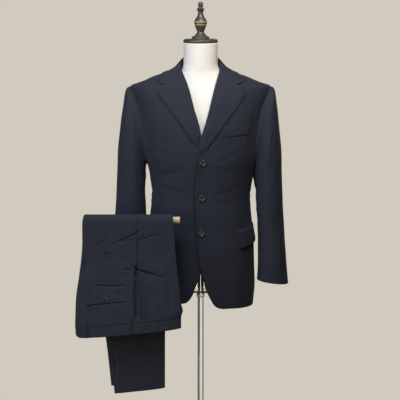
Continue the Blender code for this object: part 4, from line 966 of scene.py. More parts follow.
def horn():
    """Dark horn buttons: nearly black with grey streaks, glossy, with fine scratches."""
    n = Look("button_horn")
    at = n.place()
    streak = n.grain(at, (120, 120, 420), 5.0, 0.6, 1.5)
    scratch = n.grain(at, (2600, 900, 2600), 2.0)
    return n.done(
        base_color=n.mix(n.reach(streak, 0.42, 0.72), (0.0045, 0.0045, 0.006), (0.02, 0.02, 0.022)),
        roughness=n.reach(scratch, 0.4, 0.8, 0.12, 0.26), specular_ior_level=0.55,
        normal=n.bump(scratch, 0.08, 0.0001),
    )


def thread(name, colour, sheen):
    n = Look(name)
    twist = n.wave(n.scaled(n.place(), (1, 1, 1), (0.6, 0.4, 0.5)), 700.0, "DIAGONAL", 1.0, 1.0)
    return n.done(
        base_color=n.mix(n.reach(twist, 0.2, 0.8), shade(colour, 0.6), colour), roughness=0.6, sheen_weight=sheen,
        normal=n.bump(twist, 0.4, 0.0002),
    )


def floor_paint():
    n = Look("floor_paint")
    cloud = n.noise(n.place(), 2.0, 4.0)
    base = n.mix(n.reach(cloud, 0.3, 0.7), (0.6, 0.56, 0.485), (0.62, 0.58, 0.505))
    return n.done(base_color=base, roughness=0.9, specular_ior_level=0.1)


JACKET_WOOL = wool("jacket_worsted", (0.0255, 0.0286, 0.0402), 0.0074)
TROUSER_WOOL = wool("trouser_worsted", (0.0262, 0.0296, 0.0415), 0.0078)
LINEN, LINING, HORN = linen(), lining_satin(), horn()
NAVY_THREAD = thread("navy_thread", (0.02, 0.023, 0.032), 0.2)
# A near-black thread laid along edges and seams: painted shadow, standing in for the dark line of shade beside them.
SHADOW_LINE_THREAD = thread("painted_shadow_thread", (0.0035, 0.004, 0.006), 0.02)


# ---- the jacket's body -------------------------------------------------------------------------------------


def hem_height(side, turn):
    return HEM[side].at(np.abs(turn))[..., 0]


def front_outline(side):
    """The front's free edge from the hem up, and on round the neck to the shoulder's middle."""
    edge = smooth_curve(FRONT_EDGE[side], 12)
    edge[:, 0] = turn_at(edge[:, 0], edge[:, 1])
    middle = [(edge[-1, 0] + 90) / 2, (edge[-1, 1] + NECK_HEIGHT) / 2]
    return np.vstack([edge, smooth_curve([edge[-1], middle, (90, NECK_HEIGHT)])[1:]])


def seam_and_armhole(side, armhole):
    """A panel's outer line: straight up from the hem and then along its part of the armhole."""
    turn, top = armhole[0]
    seam = np.column_stack([np.full(30, turn), np.linspace(hem_height(side, turn), top, 30)])
    return np.vstack([seam, smooth_curve(armhole)[1:]])


def edge_relief(side, base, height):
    """The left front's free edge stands off a little; the right front is pressed in along it."""
    edge = smooth_curve(FRONT_EDGE["left"], 12)
    off = base[..., 0] - np.interp(height, edge[:, 1], edge[:, 0])
    live = ramp(height, 0.72, 0.8) * (1 - ramp(height, 1.165, 1.2))
    if side == "left":
        return 0.0022 * live * bell(off, 0.006)
    return -0.004 * live * bell(off + 0.0018, 0.0034)


def lay(name, turn, height, lift, v_start=0.0, **settings):
    """A cloth piece at the body's (turn, height), lifted off its plain form."""
    base, normal = on_body(turn, height), body_normal(turn, height)
    P = base + normal * lift[..., None]
    u, v = flat_on_body(turn, height)
    cloth(name, P, stacked(u, v + v_start), normal, base, **settings)
    return P


def body_panel(part, side, inner, outer, rows, columns, seams):
    """A body panel between two curves of (turn, height) on its own side."""
    first, last = spaced(inner, rows), spaced(outer, rows)
    share = np.linspace(0, 1, columns)
    turn, height = (between(first[:, k : k + 1], last[:, k : k + 1], share) for k in (0, 1))
    turn = mirror(side) * turn
    base = on_body(turn, height)
    lift = body_relief(turn, height) + dips(base, seams) * (1 - 0.8 * ramp(height, 1.16, 1.24))
    if part == "front":
        lift = lift + lap_of(side, turn, height) + edge_relief(side, base, height)
    name = f"jacket_{part}_{side}"
    P = lay(name, turn, height, lift)
    # A near-black thread just under the left front's free edge: a painted shadow line along it.
    if name == "jacket_front_left":
        under = P[:, 0] - 0.0009 * body_normal(turn[:, 0], height[:, 0])
        painted_shadow_line(name, under[(P[:, 0, 2] > 0.745) & (P[:, 0, 2] < 1.186)], 0.0008)


def under_armhole(side):
    rise = UNDER_RISE[side]
    return [(t, z + rise * math.sin(math.pi * k / 6) ** 0.7) for k, (t, z) in enumerate(UNDER_ARMHOLE)]


def make_body():
    for side in SIDES:
        outer = seam_and_armhole(side, FRONT_ARMHOLE)
        body_panel("front", side, front_outline(side), outer, 176, 74, ("u1", "v1"))

        under = smooth_curve(under_armhole(side))
        turn = np.interp(np.linspace(0, len(under) - 1, 46), np.arange(len(under)), under[:, 0])
        top, low = np.interp(turn, under[:, 0], under[:, 1]), hem_height(side, turn)
        turn, height = floats(mirror(side) * turn, between(low, top, np.linspace(0, 1, 96)[:, None]))
        lift = body_relief(turn, height) + dips(on_body(turn, height), ("u0", "u1"))
        lay(f"jacket_side_{side}", turn, height, lift)

        middle = smooth_curve([(180, float(hem_height(side, 180)))] + BACK_MIDDLE[:3], 12)
        neck = smooth_curve(BACK_MIDDLE[2:] + [(90, NECK_HEIGHT)], 12)[1:]
        outer = seam_and_armhole(side, BACK_ARMHOLE)
        body_panel("back", side, np.vstack([middle, neck]), outer, 132, 54, ("u0", "u1", "v1"))


def make_lining():
    turn, height = floats(np.linspace(LINING_TURN, 360 - LINING_TURN, 80), np.linspace(*LINING_HEIGHTS, 34)[:, None])
    turn = np.where(turn > 180, turn - 360, turn)
    pleat = 0.001 * bell(np.abs(turn) - 180, 1.6)
    lift = np.minimum(body_relief(turn, height), 0.0004) - LINING_DEPTH - pleat
    lay("jacket_back_lining", turn, height, lift, wall=LINING_WALL, look=LINING)


def make_lapels():
    """Each lapel rolls back from the front's edge; its last two rows tuck under the collar."""
    up = np.r_[np.linspace(0, 1, 120), 1.0, 1.0]
    tuck = np.r_[np.zeros(120), 0.0014, 0.003][:, None]
    keys = np.array([0, 1.0, 2.2, 3.6, 5.4, 7.2, 8.4])
    at = np.r_[np.linspace(0, 3.6, 20)[:-1], np.linspace(3.6, 8.4, 25)]
    for side in SIDES:
        row = LAPEL[side].at(up)
        width = np.hypot(row[:, 0] - row[:, 2], row[:, 1] - row[:, 3])[:, None]
        narrow = (0.35 + 0.65 * ramp(up, 0.0, 0.16)) / width[:, 0]
        shares = [share + step * narrow for share, step, _ in LAPEL_SECTION]
        curve = Table(np.column_stack([keys, shares, [lift for _, _, lift in LAPEL_SECTION]])).at(at)
        share, lift = curve[:, :-1].T, curve[:, -1]
        x, z = (between(row[:, k : k + 1], row[:, k + 2 : k + 3], share) for k in (0, 1))
        turn = turn_at(mirror(side) * x, z)
        normal = body_normal(turn, z)
        bulge = 0.0012 * np.sin(np.pi * np.clip(share, 0, 1)) * np.sin(np.pi * up)[:, None]
        stand = 0.0012 * ramp(share, 0.6, 0.97) * ramp(up, 0.02, 0.12)[:, None]
        edge = 0.0005 * bell((1 - share) * width, 0.003)
        low = 0.25 + 0.75 * ramp(up, -0.02, 0.09)[:, None]
        lift = (lift + bulge + stand - edge) * low - 0.35 * tuck
        P = front_point(side, turn, z) + normal * lift[..., None]
        under = 1 - ramp(np.abs(x), 0.104, 0.112)
        P = P + (tuck * under)[..., None] * np.array([0.62 * mirror(side), 0.0, 0.78])
        # A near-black thread just outside each lapel's edge: a painted shadow line under it.
        rows = slice(1, 118)
        past = 1 + 0.0017 / width[rows, 0]
        x, z = (between(row[rows, k], row[rows, k + 2], past) for k in (0, 1))
        painted_shadow_line(f"jacket_lapel_{side}", on_front(side, mirror(side) * x, z, 0.0006), 0.0012)
        uv = stacked(width - share * width, run_of(row[:, 2:4])[:, None])
        cloth(f"jacket_lapel_{side}", P, uv, normal, P)


def clear_of_body(points, clearance):
    """The points, those nearer to the body than that moved out to it."""
    z = points[..., 2]
    row = BODY.at(z)
    across = points[..., 0] / row[..., 0]
    ahead = -points[..., 1] / np.where(points[..., 1] < 0, row[..., 1], row[..., 2])
    power = row[..., 3]
    size = np.maximum((np.abs(across) ** power + np.abs(ahead) ** power) ** (1 / power), 1e-9)
    across_share, ahead_share = np.abs(across / size) ** (power / 2), np.abs(ahead / size) ** (power / 2)
    turn = np.copysign(np.degrees(np.arctan2(across_share, np.copysign(ahead_share, ahead))), across)
    normal = body_normal(turn, z)
    off = ((points - on_body(turn, z)) * normal).sum(axis=-1) - np.maximum(body_relief(turn, z), 0.0)
    move = np.where(z > BODY.keys[-1], 0.0, np.maximum(0.0, clearance - off))
    return points + normal * move[..., None]


def make_collar():
    """The collar's stand, its rounded fold and its leaf, lofted along it from end to end."""
    end = [1.0]
    for x, height, lift in COLLAR_END:
        turn = turn_at(np.array(x), np.array(height))
        end += list(on_body(turn, np.array(height)) + body_normal(turn, np.array(height)) * lift)
    along = np.linspace(-1, 1, 151)
    row = Table(COLLAR_ROWS + [end]).at(np.abs(along)).reshape(len(along), 5, 3)
    row[..., 0] *= np.where(along < 0, -1.0, 1.0)[:, None]
    foot, folded, high, low, edge = row.transpose(1, 0, 2)
    out = unit((edge - foot) * [1, 1, 0])
    inside = folded - out * FOLD_ROUND - [0, 0, 1.4 * FOLD_ROUND]
    over = between(folded, high, 0.3) + [0, 0, 0.7 * FOLD_ROUND]
    keys = np.stack([foot, inside, folded, over, high, low, edge])
    run = np.r_[0, np.cumsum(np.linalg.norm(np.diff(keys, axis=0), axis=2).mean(axis=1))]
    at = np.r_[np.linspace(run[0], run[1], 12)[:-1], np.linspace(run[1], run[3], 12)[:-1],
               np.linspace(run[3], run[6], 30)]
    P = Table(np.column_stack([run, keys.reshape(7, -1)])).at(at).reshape(len(at), len(along), 3).transpose(1, 0, 2)
    leaf = at >= run[3] - 1e-9
    P[:, leaf] = clear_of_body(P[:, leaf], COLLAR_CLEAR)
    run_along = run_of(P[:, len(at) // 2])
    outward = np.zeros_like(P)
    outward[:, leaf] = out[:, None, :]
    outward[:, leaf, 2] = 0.6
    cloth("jacket_collar", P, stacked((run_along - run_along[-1] / 2)[:, None], at), outward, P)


def make_pockets():
    down, share = np.linspace(0, 1, 34)[:, None], np.linspace(0, 1, 84)
    corner = FLAP_ROUND * np.maximum(0.0, 1 - share / FLAP_ROUND_SHARE) ** 2
    height = between(FLAP_TOP + FLAP_TOP_RISE * share, FLAP_BOTTOM + FLAP_RISE * share + corner, down)
    stand = (FLAP_STAND - 0.0004 + 0.003 * share) * down + 0.0008 * bell(share, 0.03)
    stand = stand + 0.0006 * np.sin(np.pi * share * 2.3 + 0.5) * down
    stand = stand + 0.0009 * bell(down - 0.1, 0.07) - 0.0026 * bell(down, 0.05)
    for side in SIDES:
        name = f"jacket_pocket_flap_{side}"
        turn = mirror(side) * (between(*FLAP_TURNS, share) + FLAP_DRAFT * down * (1 - share))
        seams = dips(on_body(turn, height), ("u0", "u1", "v1"), 0.0004)
        P = lay(name, turn, height, body_relief(turn, height) + PATCH_LIFT + stand + seams,
                rests_on=f"jacket_front_{side}")
        ground = on_body(turn, height)
        ground = ground + body_normal(turn, height) * (body_relief(turn, height) + 0.0013)[..., None]
        # Near-black threads along the flap's front edge, bottom and top: painted shadow lines round it.
        painted_shadow_line(name, ground[3:, 0] + 0.0011 * unit(P[3:, 0] - P[3:, 1]), 0.0011)
        painted_shadow_line(name, ground[-1, 1:-2] + 0.0011 * unit(P[-1, 1:-2] - P[-2, 1:-2]), 0.0009)
        painted_shadow_line(name, P[0, 1:-1] + [0.0, 0.0, 0.0006], 0.0006)
    up, share = np.linspace(0, 1, 26)[:, None, None], np.linspace(0, 1, 60)[:, None]
    start, end = (between(np.array(WELT_CORNERS["low"][k]), np.array(WELT_CORNERS["high"][k]), up) for k in (0, 1))
    x, z = np.moveaxis(between(start, end, share), -1, 0)
    turn = turn_at(x, z)
    lift = body_relief(turn, z) + WELT_LIFT + dips(on_body(turn, z), ("u0", "u1"), 0.0002)
    P = lay("jacket_breast_welt", turn, z, lift, v_start=0.004, rests_on="jacket_front_left")
    # A near-black thread along the welt's top: a painted shadow line.
    painted_shadow_line("jacket_breast_welt", P[-1, 1:-1] + [0.0, 0.0, 0.0005], 0.0006)


# ---- sleeves -----------------------------------------------------------------------------------------------


def armhole_loop(side):
    """The armhole's points, of the left side; the wearer's right one is given mirrored."""
    under = under_armhole(side)
    quarters = [
        FRONT_ARMHOLE[2:][::-1],
        FRONT_ARMHOLE[:3][::-1] + under[1:4],
        under[3:-1] + BACK_ARMHOLE[:3],
        BACK_ARMHOLE[2:],
    ]
    found = np.vstack([spaced(smooth_curve(q), ARMHOLE_POINTS // 4 + 1)[:-1] for q in quarters])
    point, normal = on_body(found[:, 0], found[:, 1]), body_normal(found[:, 0], found[:, 1])
    centre = stacked(point[:, 0], 0.0, ARMHOLE_MIDDLE)
    relief = body_relief(mirror(side) * found[:, 0], found[:, 1]) - ARMHOLE_TUCK
    return point + unit(centre - point) * ARMHOLE_INSET + normal * relief[:, None]


ARMHOLES = {side: armhole_loop(side) for side in SIDES}


def sleeve_form(side, down, angle):
    """Plain points of a sleeve: 0 is at its outer line, 90 in front and 180 at the inner line."""
    down, angle = floats(down, angle)
    row, inside, loop = SLEEVE.at(down), SLEEVE_INSIDE[side].at(down), ARMHOLES[side]
    swing = row[..., 7] if side == "right" else 0.0
    outer = stacked(row[..., 0] + swing, row[..., 1])
    inner = stacked(row[..., 2] + swing * INNER_SWING - inside[..., 0], row[..., 3] + inside[..., 1])
    middle, arm = (outer + inner) / 2, (outer - inner) / 2
    power = 2 / SLEEVE_ROUNDNESS
    across, ahead = np.cos(np.radians(angle)), np.sin(np.radians(angle))
    flat = middle + arm * signed_power(across, power)[..., None]
    point = stacked(flat[..., 0], row[..., 4] - row[..., 5] * signed_power(ahead, power), flat[..., 1])
    place = (angle % 360) / 360 * len(loop)
    k = place.astype(int) % len(loop)
    on_loop = between(loop[k], loop[(k + 1) % len(loop)], (place - np.floor(place))[..., None])
    point = between(point, on_loop, row[..., 6:7])
    point[..., 0] *= mirror(side)
    return point


def sleeve_normal(side, down, angle):
    a = sleeve_form(side, down, angle + 1.0) - sleeve_form(side, down, angle - 1.0)
    low, high = np.minimum(down + 0.004, 1.0), np.maximum(down - 0.004, 0.0)
    d = sleeve_form(side, low, angle) - sleeve_form(side, high, angle)
    return unit(np.cross(a, d)) * -mirror(side)


def sleeve_flat(down, angle):
    """Flat (u, v) of sleeve points: u from the front line round, v down from the armhole, in metres."""
    down, angle = floats(down, angle)
    row = SLEEVE.at(down)
    half = np.hypot(row[..., 0] - row[..., 2], row[..., 1] - row[..., 3]) / 2
    depth = row[..., 5]
    round_it = np.pi * (3 * (half + depth) - np.sqrt((3 * half + depth) * (half + 3 * depth)))
    return (angle - 90) / 360 * round_it, down * SLEEVE_LENGTH


SLEEVE_LINES = {
    side: lines_of(SLEEVE_FOLDS[side], lambda angle, down: sleeve_flat(down, angle)) for side in SIDES
}


def sleeve_relief(side, down, angle):
    u, v = sleeve_flat(down, angle)
    around = sleeve_flat(down, angle + 360)[0] - u
    found = undulation(u * mirror(side) + 0.3, v, 1.1)
    for line in SLEEVE_LINES[side]:
        for turn in (0.0, 1.0, -1.0):
            found = found + fold(u + turn * around, v, *line)
    puckers = 0.0003 * np.sin(u * 2 * np.pi / 0.019) * bell(v - 0.004, 0.01)
    cap = 0.0007 * ramp(np.cos(np.radians(angle)), 0.2, 0.8) * bell(v, 0.02)
    return (found * ramp(v, 0.012, 0.07) + puckers + cap) * (1 - 0.6 * ramp(v, 0.57, 0.605))


def sleeve_point(side, down, angle, lift=0.0):
    """A finished point of a sleeve."""
    out = sleeve_relief(side, down, angle) + lift
    return sleeve_form(side, down, angle) + sleeve_normal(side, down, angle) * np.asarray(out)[..., None]


# The wool is laid round a fixed middle down to the cap's end, and then round the sleeve's own.
CAP_END, CAP_MIDDLE, WOOL_RADIUS = 0.24, 0.2065, 0.056


def sleeve_uv(side, down, base):
    """The wool's place on a sleeve, so that its stripes hang straight down."""
    row = SLEEVE.at(down)
    middle = np.where(down < CAP_END, CAP_MIDDLE, (row[..., 0] + row[..., 2]) / 2)
    round_it = np.unwrap(np.arctan2(base[..., 1] - row[..., 4], base[..., 0] * mirror(side) - middle), axis=1)
    turns = np.round(round_it[:, round_it.shape[1] // 2] / (2 * np.pi))
    return stacked((round_it - 2 * np.pi * turns[:, None]) * WOOL_RADIUS, base[..., 2])


def make_sleeves():
    for side in SIDES:
        for which, rows, columns in (("top", 156, 74), ("under", 116, 44)):
            down = np.r_[np.linspace(0, 0.1, 30)[:-1], np.linspace(0.1, 1.0, rows - 29)][:, None]
            back = SLEEVE_BACK_SEAM.at(down)[..., 0]
            start, end = (back - 360, SLEEVE_FRONT_SEAM) if which == "top" else (SLEEVE_FRONT_SEAM, back)
            down, angle = floats(down, between(start, end, np.linspace(0, 1, columns)))
            base, normal = sleeve_form(side, down, angle), sleeve_normal(side, down, angle)
            lift = sleeve_relief(side, down, angle) + dips(base, ("u0", "u1")) - 0.0004 * ramp(down, 0.985, 1.0)
            P = base + normal * lift[..., None]
            P[:, 0] += unit(P[:, 1] - P[:, 0]) * SEAM_GAP
            P[:, -1] += unit(P[:, -2] - P[:, -1]) * SEAM_GAP
            cloth(f"jacket_{which}_sleeve_{side}", P, sleeve_uv(side, down, base), normal, base, held="hung",
                  rests_on=(f"jacket_front_{side}_cloth", f"jacket_back_{side}_cloth"))


# ---- trousers ----------------------------------------------------------------------------------------------

ROD_TOP = FRONT_RUN + TURN_RUN / 2  # how far along the cloth lies on top of the rod


def drape(along, offset):
    """y and z of cloth that comes up in front of the rod, goes over it and hangs down behind it."""
    turn = np.pi * (along - FRONT_RUN) / TURN_RUN
    front, over = along < FRONT_RUN, along < FRONT_RUN + TURN_RUN
    y = np.where(front, ROD_Y - offset, np.where(over, ROD_Y - offset * np.cos(turn), ROD_Y + offset))
    down = along - FRONT_RUN
    z = np.where(front, down, np.where(over, offset * np.sin(turn), TURN_RUN - down))
    return y, ROD_Z + z


def sloped(nominal, share, leg):
    corner = WAIST_CORNER * np.maximum(0.0, 1 - share / WAIST_CORNER_SHARE) ** 2
    waist = nominal + (WAIST_SLOPE * share + corner) * (1 - nominal / WAIST_SLOPE_END)
    below = (nominal - HEM_SLOPE_START) / (HEM_AT[leg] - HEM_SLOPE_START)
    hem = nominal - HEM_SLOPE * share * below
    return np.where(nominal < WAIST_SLOPE_END, waist, np.where(nominal > HEM_SLOPE_START, hem, nominal))


def leg_point(leg, nominal, x, wall, lift=0.0):
    """Plain points of a leg: wall is 1 on its outer side, 0 at the crease and -1 on its inner side."""
    nominal, x, wall, lift = floats(nominal, x, wall, lift)
    row = LEGS.at(nominal)
    left, right, opened, puff, part = (row[..., k] for k in (0, 1, 3, 4, 5))
    shift = row[..., 6] if leg == "left" else 0.0
    share = np.clip((x - left) / (right - left), 0.0, 1.0)
    crown = np.sqrt(4 * share * (1 - share))
    half = STACK_HALF - part + puff * crown
    half = half + np.where(wall > 0, opened * TRUNK_BULGE[leg] * crown, 0.0)
    middle = STACK_MIDDLE + TRUNK_SHIFT * opened + mirror(leg) * (part + puff)
    y, z = drape(sloped(nominal, share, leg), middle + mirror(leg) * (half * wall + lift))
    return stacked(x - shift, y, z)


TRUNK_LINES, LEG_LINES = lines_of(TRUNK_FOLDS), {leg: lines_of(LEG_FOLDS[leg]) for leg in SIDES}


def right_of(x, z, line):
    """How far right of a steep line, given from its top down, the points are."""
    line = np.array(line[::-1])
    return x - np.interp(z, line[:, 1], line[:, 0])


def trunk_relief(x, z):
    """The trouser cloth that hangs in front of the rod, with the mouths of its two pockets."""
    found = undulation(x * 1.3, z * 1.2, 1.5)
    for line, width, depth, ridge in TRUNK_LINES:
        found = found + fold(x, z, line, 0.52 * width, 0.85 * depth, ridge)
        found = found + fold(x, z, line, 1.9 * width, 0.5 * depth, ridge)
    live = ramp(z, 0.7, 0.722) * ramp(-z, -0.866, -0.846)
    off, back = right_of(x, z, POCKET_EDGE), right_of(x, z, POCKET_BACK)
    inside = ramp(-off, 0.0, 0.0016) * ramp(back, -0.0012, 0.0012)
    deep = 0.004 + 0.006 * (1 - ramp(back, 0.0, 0.015)) * ramp(-z, -0.862, -0.8)
    edge = 0.0052 * bell(off + 0.0004, 0.0017) * (1 - 0.5 * ramp(-z, -0.76, -0.72))
    found = found + live * (0.0018 * bell(off - 0.0032, 0.003) + 0.0024 * bell(back + 0.003, 0.0045))
    found = found - live * (deep * inside + edge)
    across = (x - BACK_POCKET_X[0]) / (BACK_POCKET_X[1] - BACK_POCKET_X[0])
    mouth = between(*BACK_POCKET_Z, across) + 0.0012 * np.sin(np.pi * np.clip(across, 0, 1))
    inside = ramp(across, -0.03, 0.03) * ramp(-across, -1.04, -0.97)
    found = found - inside * (0.0082 - 0.003 * across) * bell(z - mouth, 0.0028)
    return found * (1 - ramp(z, 0.998, 1.01))


def leg_relief(leg, x, along):
    """The trouser cloth that hangs behind the rod."""
    found = undulation(x * 1.2 + (0.4 if leg == "left" else 0.0), along, 1.1)
    return (found + sum(fold(x, along, *line) for line in LEG_LINES[leg])) * ramp(along, 0.415, 0.46)


def outer_relief(leg, nominal, x, plain):
    """The folds of a leg's outer wall; those of the inner leg stay inside the stack in front."""
    if leg == "left":
        front = trunk_relief(x, plain[..., 2]) * ramp(nominal, 0.018, 0.034)
    else:
        calm = undulation(x * 1.1 + 0.2, nominal, 1.0) * (1 - ramp(nominal, 0.3, 0.345))
        front = np.maximum(calm, -0.0006)
    return np.where(nominal < ROD_TOP, front, leg_relief(leg, x, nominal))


def on_trunk(leg, nominal, x, lift):
    """A finished point of the trousers' outer wall, lifted off it."""
    relief = outer_relief(leg, nominal, x, leg_point(leg, nominal, x, 1.0))
    return leg_point(leg, nominal, x, 1.0, relief + lift)


def nominal_at(leg, x, z):
    """The nominal way along of the outer wall's points in front of the rod with these x and heights."""
    x, z = floats(x, z)
    low, high = np.zeros(x.shape), np.full(x.shape, 0.3)
    for _ in range(26):
        middle = (low + high) / 2
        under = leg_point(leg, middle, x, 1.0)[..., 2] < z
        low, high = np.where(under, middle, low), np.where(under, high, middle)
    return low


def trunk_at(leg, x, z, lift):
    """The same as on_trunk, by x and height, in front of the rod."""
    return on_trunk(leg, nominal_at(leg, x, z), x, lift)


def end_spaced(start, end, count):
    """Values from start to end, closer together at both ends."""
    even = np.linspace(0, 1, count)
    return between(start, end, 0.45 * (1 - np.cos(np.pi * even)) / 2 + 0.55 * even)


def wall_columns(nominal, part, count):
    """x and wall for each row from the seam to the crease, the last ones round it."""
    row = LEGS.at(nominal)
    front = part == "front"
    start, end = row[:, 2] + (SEAM_GAP if front else -SEAM_GAP), row[:, 1 if front else 0]
    inward = math.copysign(CREASE_ROUND, start[0] - end[0])
    xs = np.stack([end_spaced(a, b + inward, count) for a, b in zip(start, end)])
    turn = np.radians([18, 36, 54, 72, 90])
    round_x = end[:, None] + inward * (1 - np.sin(turn))
    round_wall = np.broadcast_to(np.cos(turn), round_x.shape)
    return np.concatenate([xs, round_x], axis=1), np.concatenate([np.ones_like(xs), round_wall], axis=1)


# Rows in front of the rod and behind it, and columns of the front and the back: finer where they show.
LEG_GRID = {"left": (214, 60, 98, 108), "right": (60, 130, 29, 32)}


def make_leg_panel(leg, part):
    ahead, behind, front_count, back_count = LEG_GRID[leg]
    nominal = np.concatenate([
        np.linspace(0.0322, 0.345, ahead), np.linspace(0.352, 0.4, 14), np.linspace(0.408, HEM_AT[leg], behind),
    ])[:, None]
    count = front_count if part == "front" else back_count
    x, wall = wall_columns(nominal[:, 0], part, count)
    outer = leg_point(leg, nominal, x, wall)
    relief = outer_relief(leg, nominal, x, outer) * np.clip(wall, 0, 1)
    seam = dips(outer, ("u0",), 0.0011 if part == "back" else 0.0022) * (1 - 0.85 * ramp(nominal, 0.36, 0.41))
    relief = relief + np.where(wall > 0.99, seam, 0.0) - 0.0014 * bell(nominal - 0.032, 0.003)
    # The inner wall starts at the crease and reaches across from the crotch down.
    inner_columns = slice(None, None, 6 if leg == "left" else 2)
    xi, wi = x[:, -2::-1][:, inner_columns], wall[:, -2::-1][:, inner_columns]
    tip = x[:, -1:]
    grown = np.maximum(ramp(nominal, CROTCH, CROTCH + INSEAM_LENGTH), 0.02)
    xi = between(tip, xi, grown)
    inner = leg_point(leg, nominal, xi, -wi * np.minimum(1.0, INSEAM_OPENS * grown))
    P = np.concatenate([leg_point(leg, nominal, x, wall, relief), inner], axis=1)
    mask = np.ones((P.shape[0] - 1, P.shape[1] - 1), bool)
    mask[nominal[:-1, 0] < CROTCH, x.shape[1] - 1:] = False
    outward = np.zeros_like(P)
    outward[:, :count, 1] = np.where(nominal < ROD_TOP, -1.0, 1.0) * mirror(leg)
    uv = stacked(np.concatenate([x, 2 * tip - xi], axis=1), nominal)
    cloth(f"trousers_{part}_{leg}", P, uv, outward, np.concatenate([outer, inner], axis=1), wall=TROUSER_WALL,
          look=TROUSER_WOOL, held="folded", rests_on="trouser_rod", mask=mask)


def make_waistband(leg):
    nominal = np.linspace(0.0, WAISTBAND - 0.0005, 22)
    backs, fronts = wall_columns(nominal, "back", 60), wall_columns(nominal, "front", 52)
    x, wall = (np.concatenate([b[:, ::-1], f[:, 1:]], axis=1) for b, f in zip(backs, fronts))
    nominal = nominal[:, None]
    plain = leg_point(leg, nominal, x, wall)
    relief = undulation(x * 1.3, plain[..., 2], 0.8) * np.clip(wall, 0, 1) + 0.0005
    relief = relief - 0.0007 * (bell(nominal, 0.0022) + bell(WAISTBAND - nominal, 0.0025))
    cloth(f"trousers_waistband_{leg}", leg_point(leg, nominal, x, wall, relief),
          stacked(edge_runs(plain)[0], nominal), np.array([0.0, -mirror(leg), 0.0]), plain,
          wall=WAISTBAND_WALL * 0.8, look=TROUSER_WOOL, held="folded", rests_on="trouser_rod")


def trim(name, leg, P, uv, wall, rests_on):
    """A small piece of cloth sewn on the trousers in front of the rod."""
    cloth(f"trousers_{name}", P, stacked(*uv), np.array([0.0, -mirror(leg), 0.0]), P, wall=wall, look=TROUSER_WOOL,
          held="folded", rests_on=f"trousers_{rests_on}_{leg}")


def make_trouser_trim(leg):
    up, share = np.linspace(0, 1, 34)[:, None], np.linspace(0, 1, 13)
    lift = LOOP_LIFT + 0.0014 - 0.0012 * (bell(up, 0.07) + bell(1 - up, 0.07))
    lift = lift + 0.0008 * np.sin(np.pi * up) - 0.0004 * (2 * share - 1) ** 4
    for number, (x, slant) in enumerate(zip(LOOPS, (0.009, 0.0)), 1):
        across = x + slant * (0.5 - up) + LOOP_WIDTH * (share - 0.5)
        trim(f"belt_loop_{leg}_{number}", leg, on_trunk(leg, LOOP_LENGTH * up + 0.0002, across, lift),
             (LOOP_WIDTH * share + x, LOOP_LENGTH * up), TROUSER_WALL, "waistband")

    rise, share = np.linspace(-0.5, 0.5, 27)[:, None], np.linspace(0, 1, 90)
    x, z = between(*BACK_POCKET_X, share), between(*BACK_POCKET_Z, share) + rise * BACK_POCKET_HEIGHT
    z = z + 0.002 * np.sin(np.pi * share) * (0.6 - rise)
    jets = 0.0011 * np.abs(np.sin(2 * np.pi * rise)) ** 0.7
    lift = TRIM_LIFT - 0.0006 + jets - 0.0007 * bell(0.5 - np.abs(rise), 0.06)
    trim(f"back_pocket_{leg}", leg, trunk_at(leg, x, z, lift), (z, x), TROUSER_WALL * 0.7, "back")

    line, share = smooth_curve(SIDE_POCKET, 24), np.linspace(0.1, 1.1, 15)
    x, z = line[:, :1] + SIDE_POCKET_WIDTH * share, line[:, 1:]
    lift = TRIM_LIFT - 0.0007 + 0.0007 * np.sin(np.pi * (share - 0.1)) ** 0.6
    trim(f"side_pocket_{leg}", leg, trunk_at(leg, x, z, lift), (x, z), TROUSER_WALL * 0.8, "front")


# ---- buttons -----------------------------------------------------------------------------------------------


def strand(shape, route, radius, sides, index=0):
    """A closed tube along a route, added to a bmesh."""
    rings, route = [], [Vector(p) for p in route]
    across = (route[1] - route[0]).normalized().orthogonal()
    for k, here in enumerate(route):
        way = (route[min(k + 1, len(route) - 1)] - route[max(k - 1, 0)]).normalized()
        across = (across - way * across.dot(way)).normalized()
        other = way.cross(across)
        rings.append([
            shape.verts.new(here + (across * math.cos(a) + other * math.sin(a)) * radius)
            for a in (2 * math.pi * j / sides for j in range(sides))
        ])
    faces = []
    for low, high in zip(rings, rings[1:]):
        for j in range(sides):
            n = (j + 1) % sides
            faces.append(shape.faces.new((low[j], low[n], high[n], high[j])))
    for face in faces + [shape.faces.new(rings[0][::-1]), shape.faces.new(rings[-1])]:
        face.material_index, face.smooth = index, True


HOLE_SHARE, SEWING_RADIUS, SEWING_APART = 0.092, 0.00024, 0.00022  # a hole's radius is a share of the button's


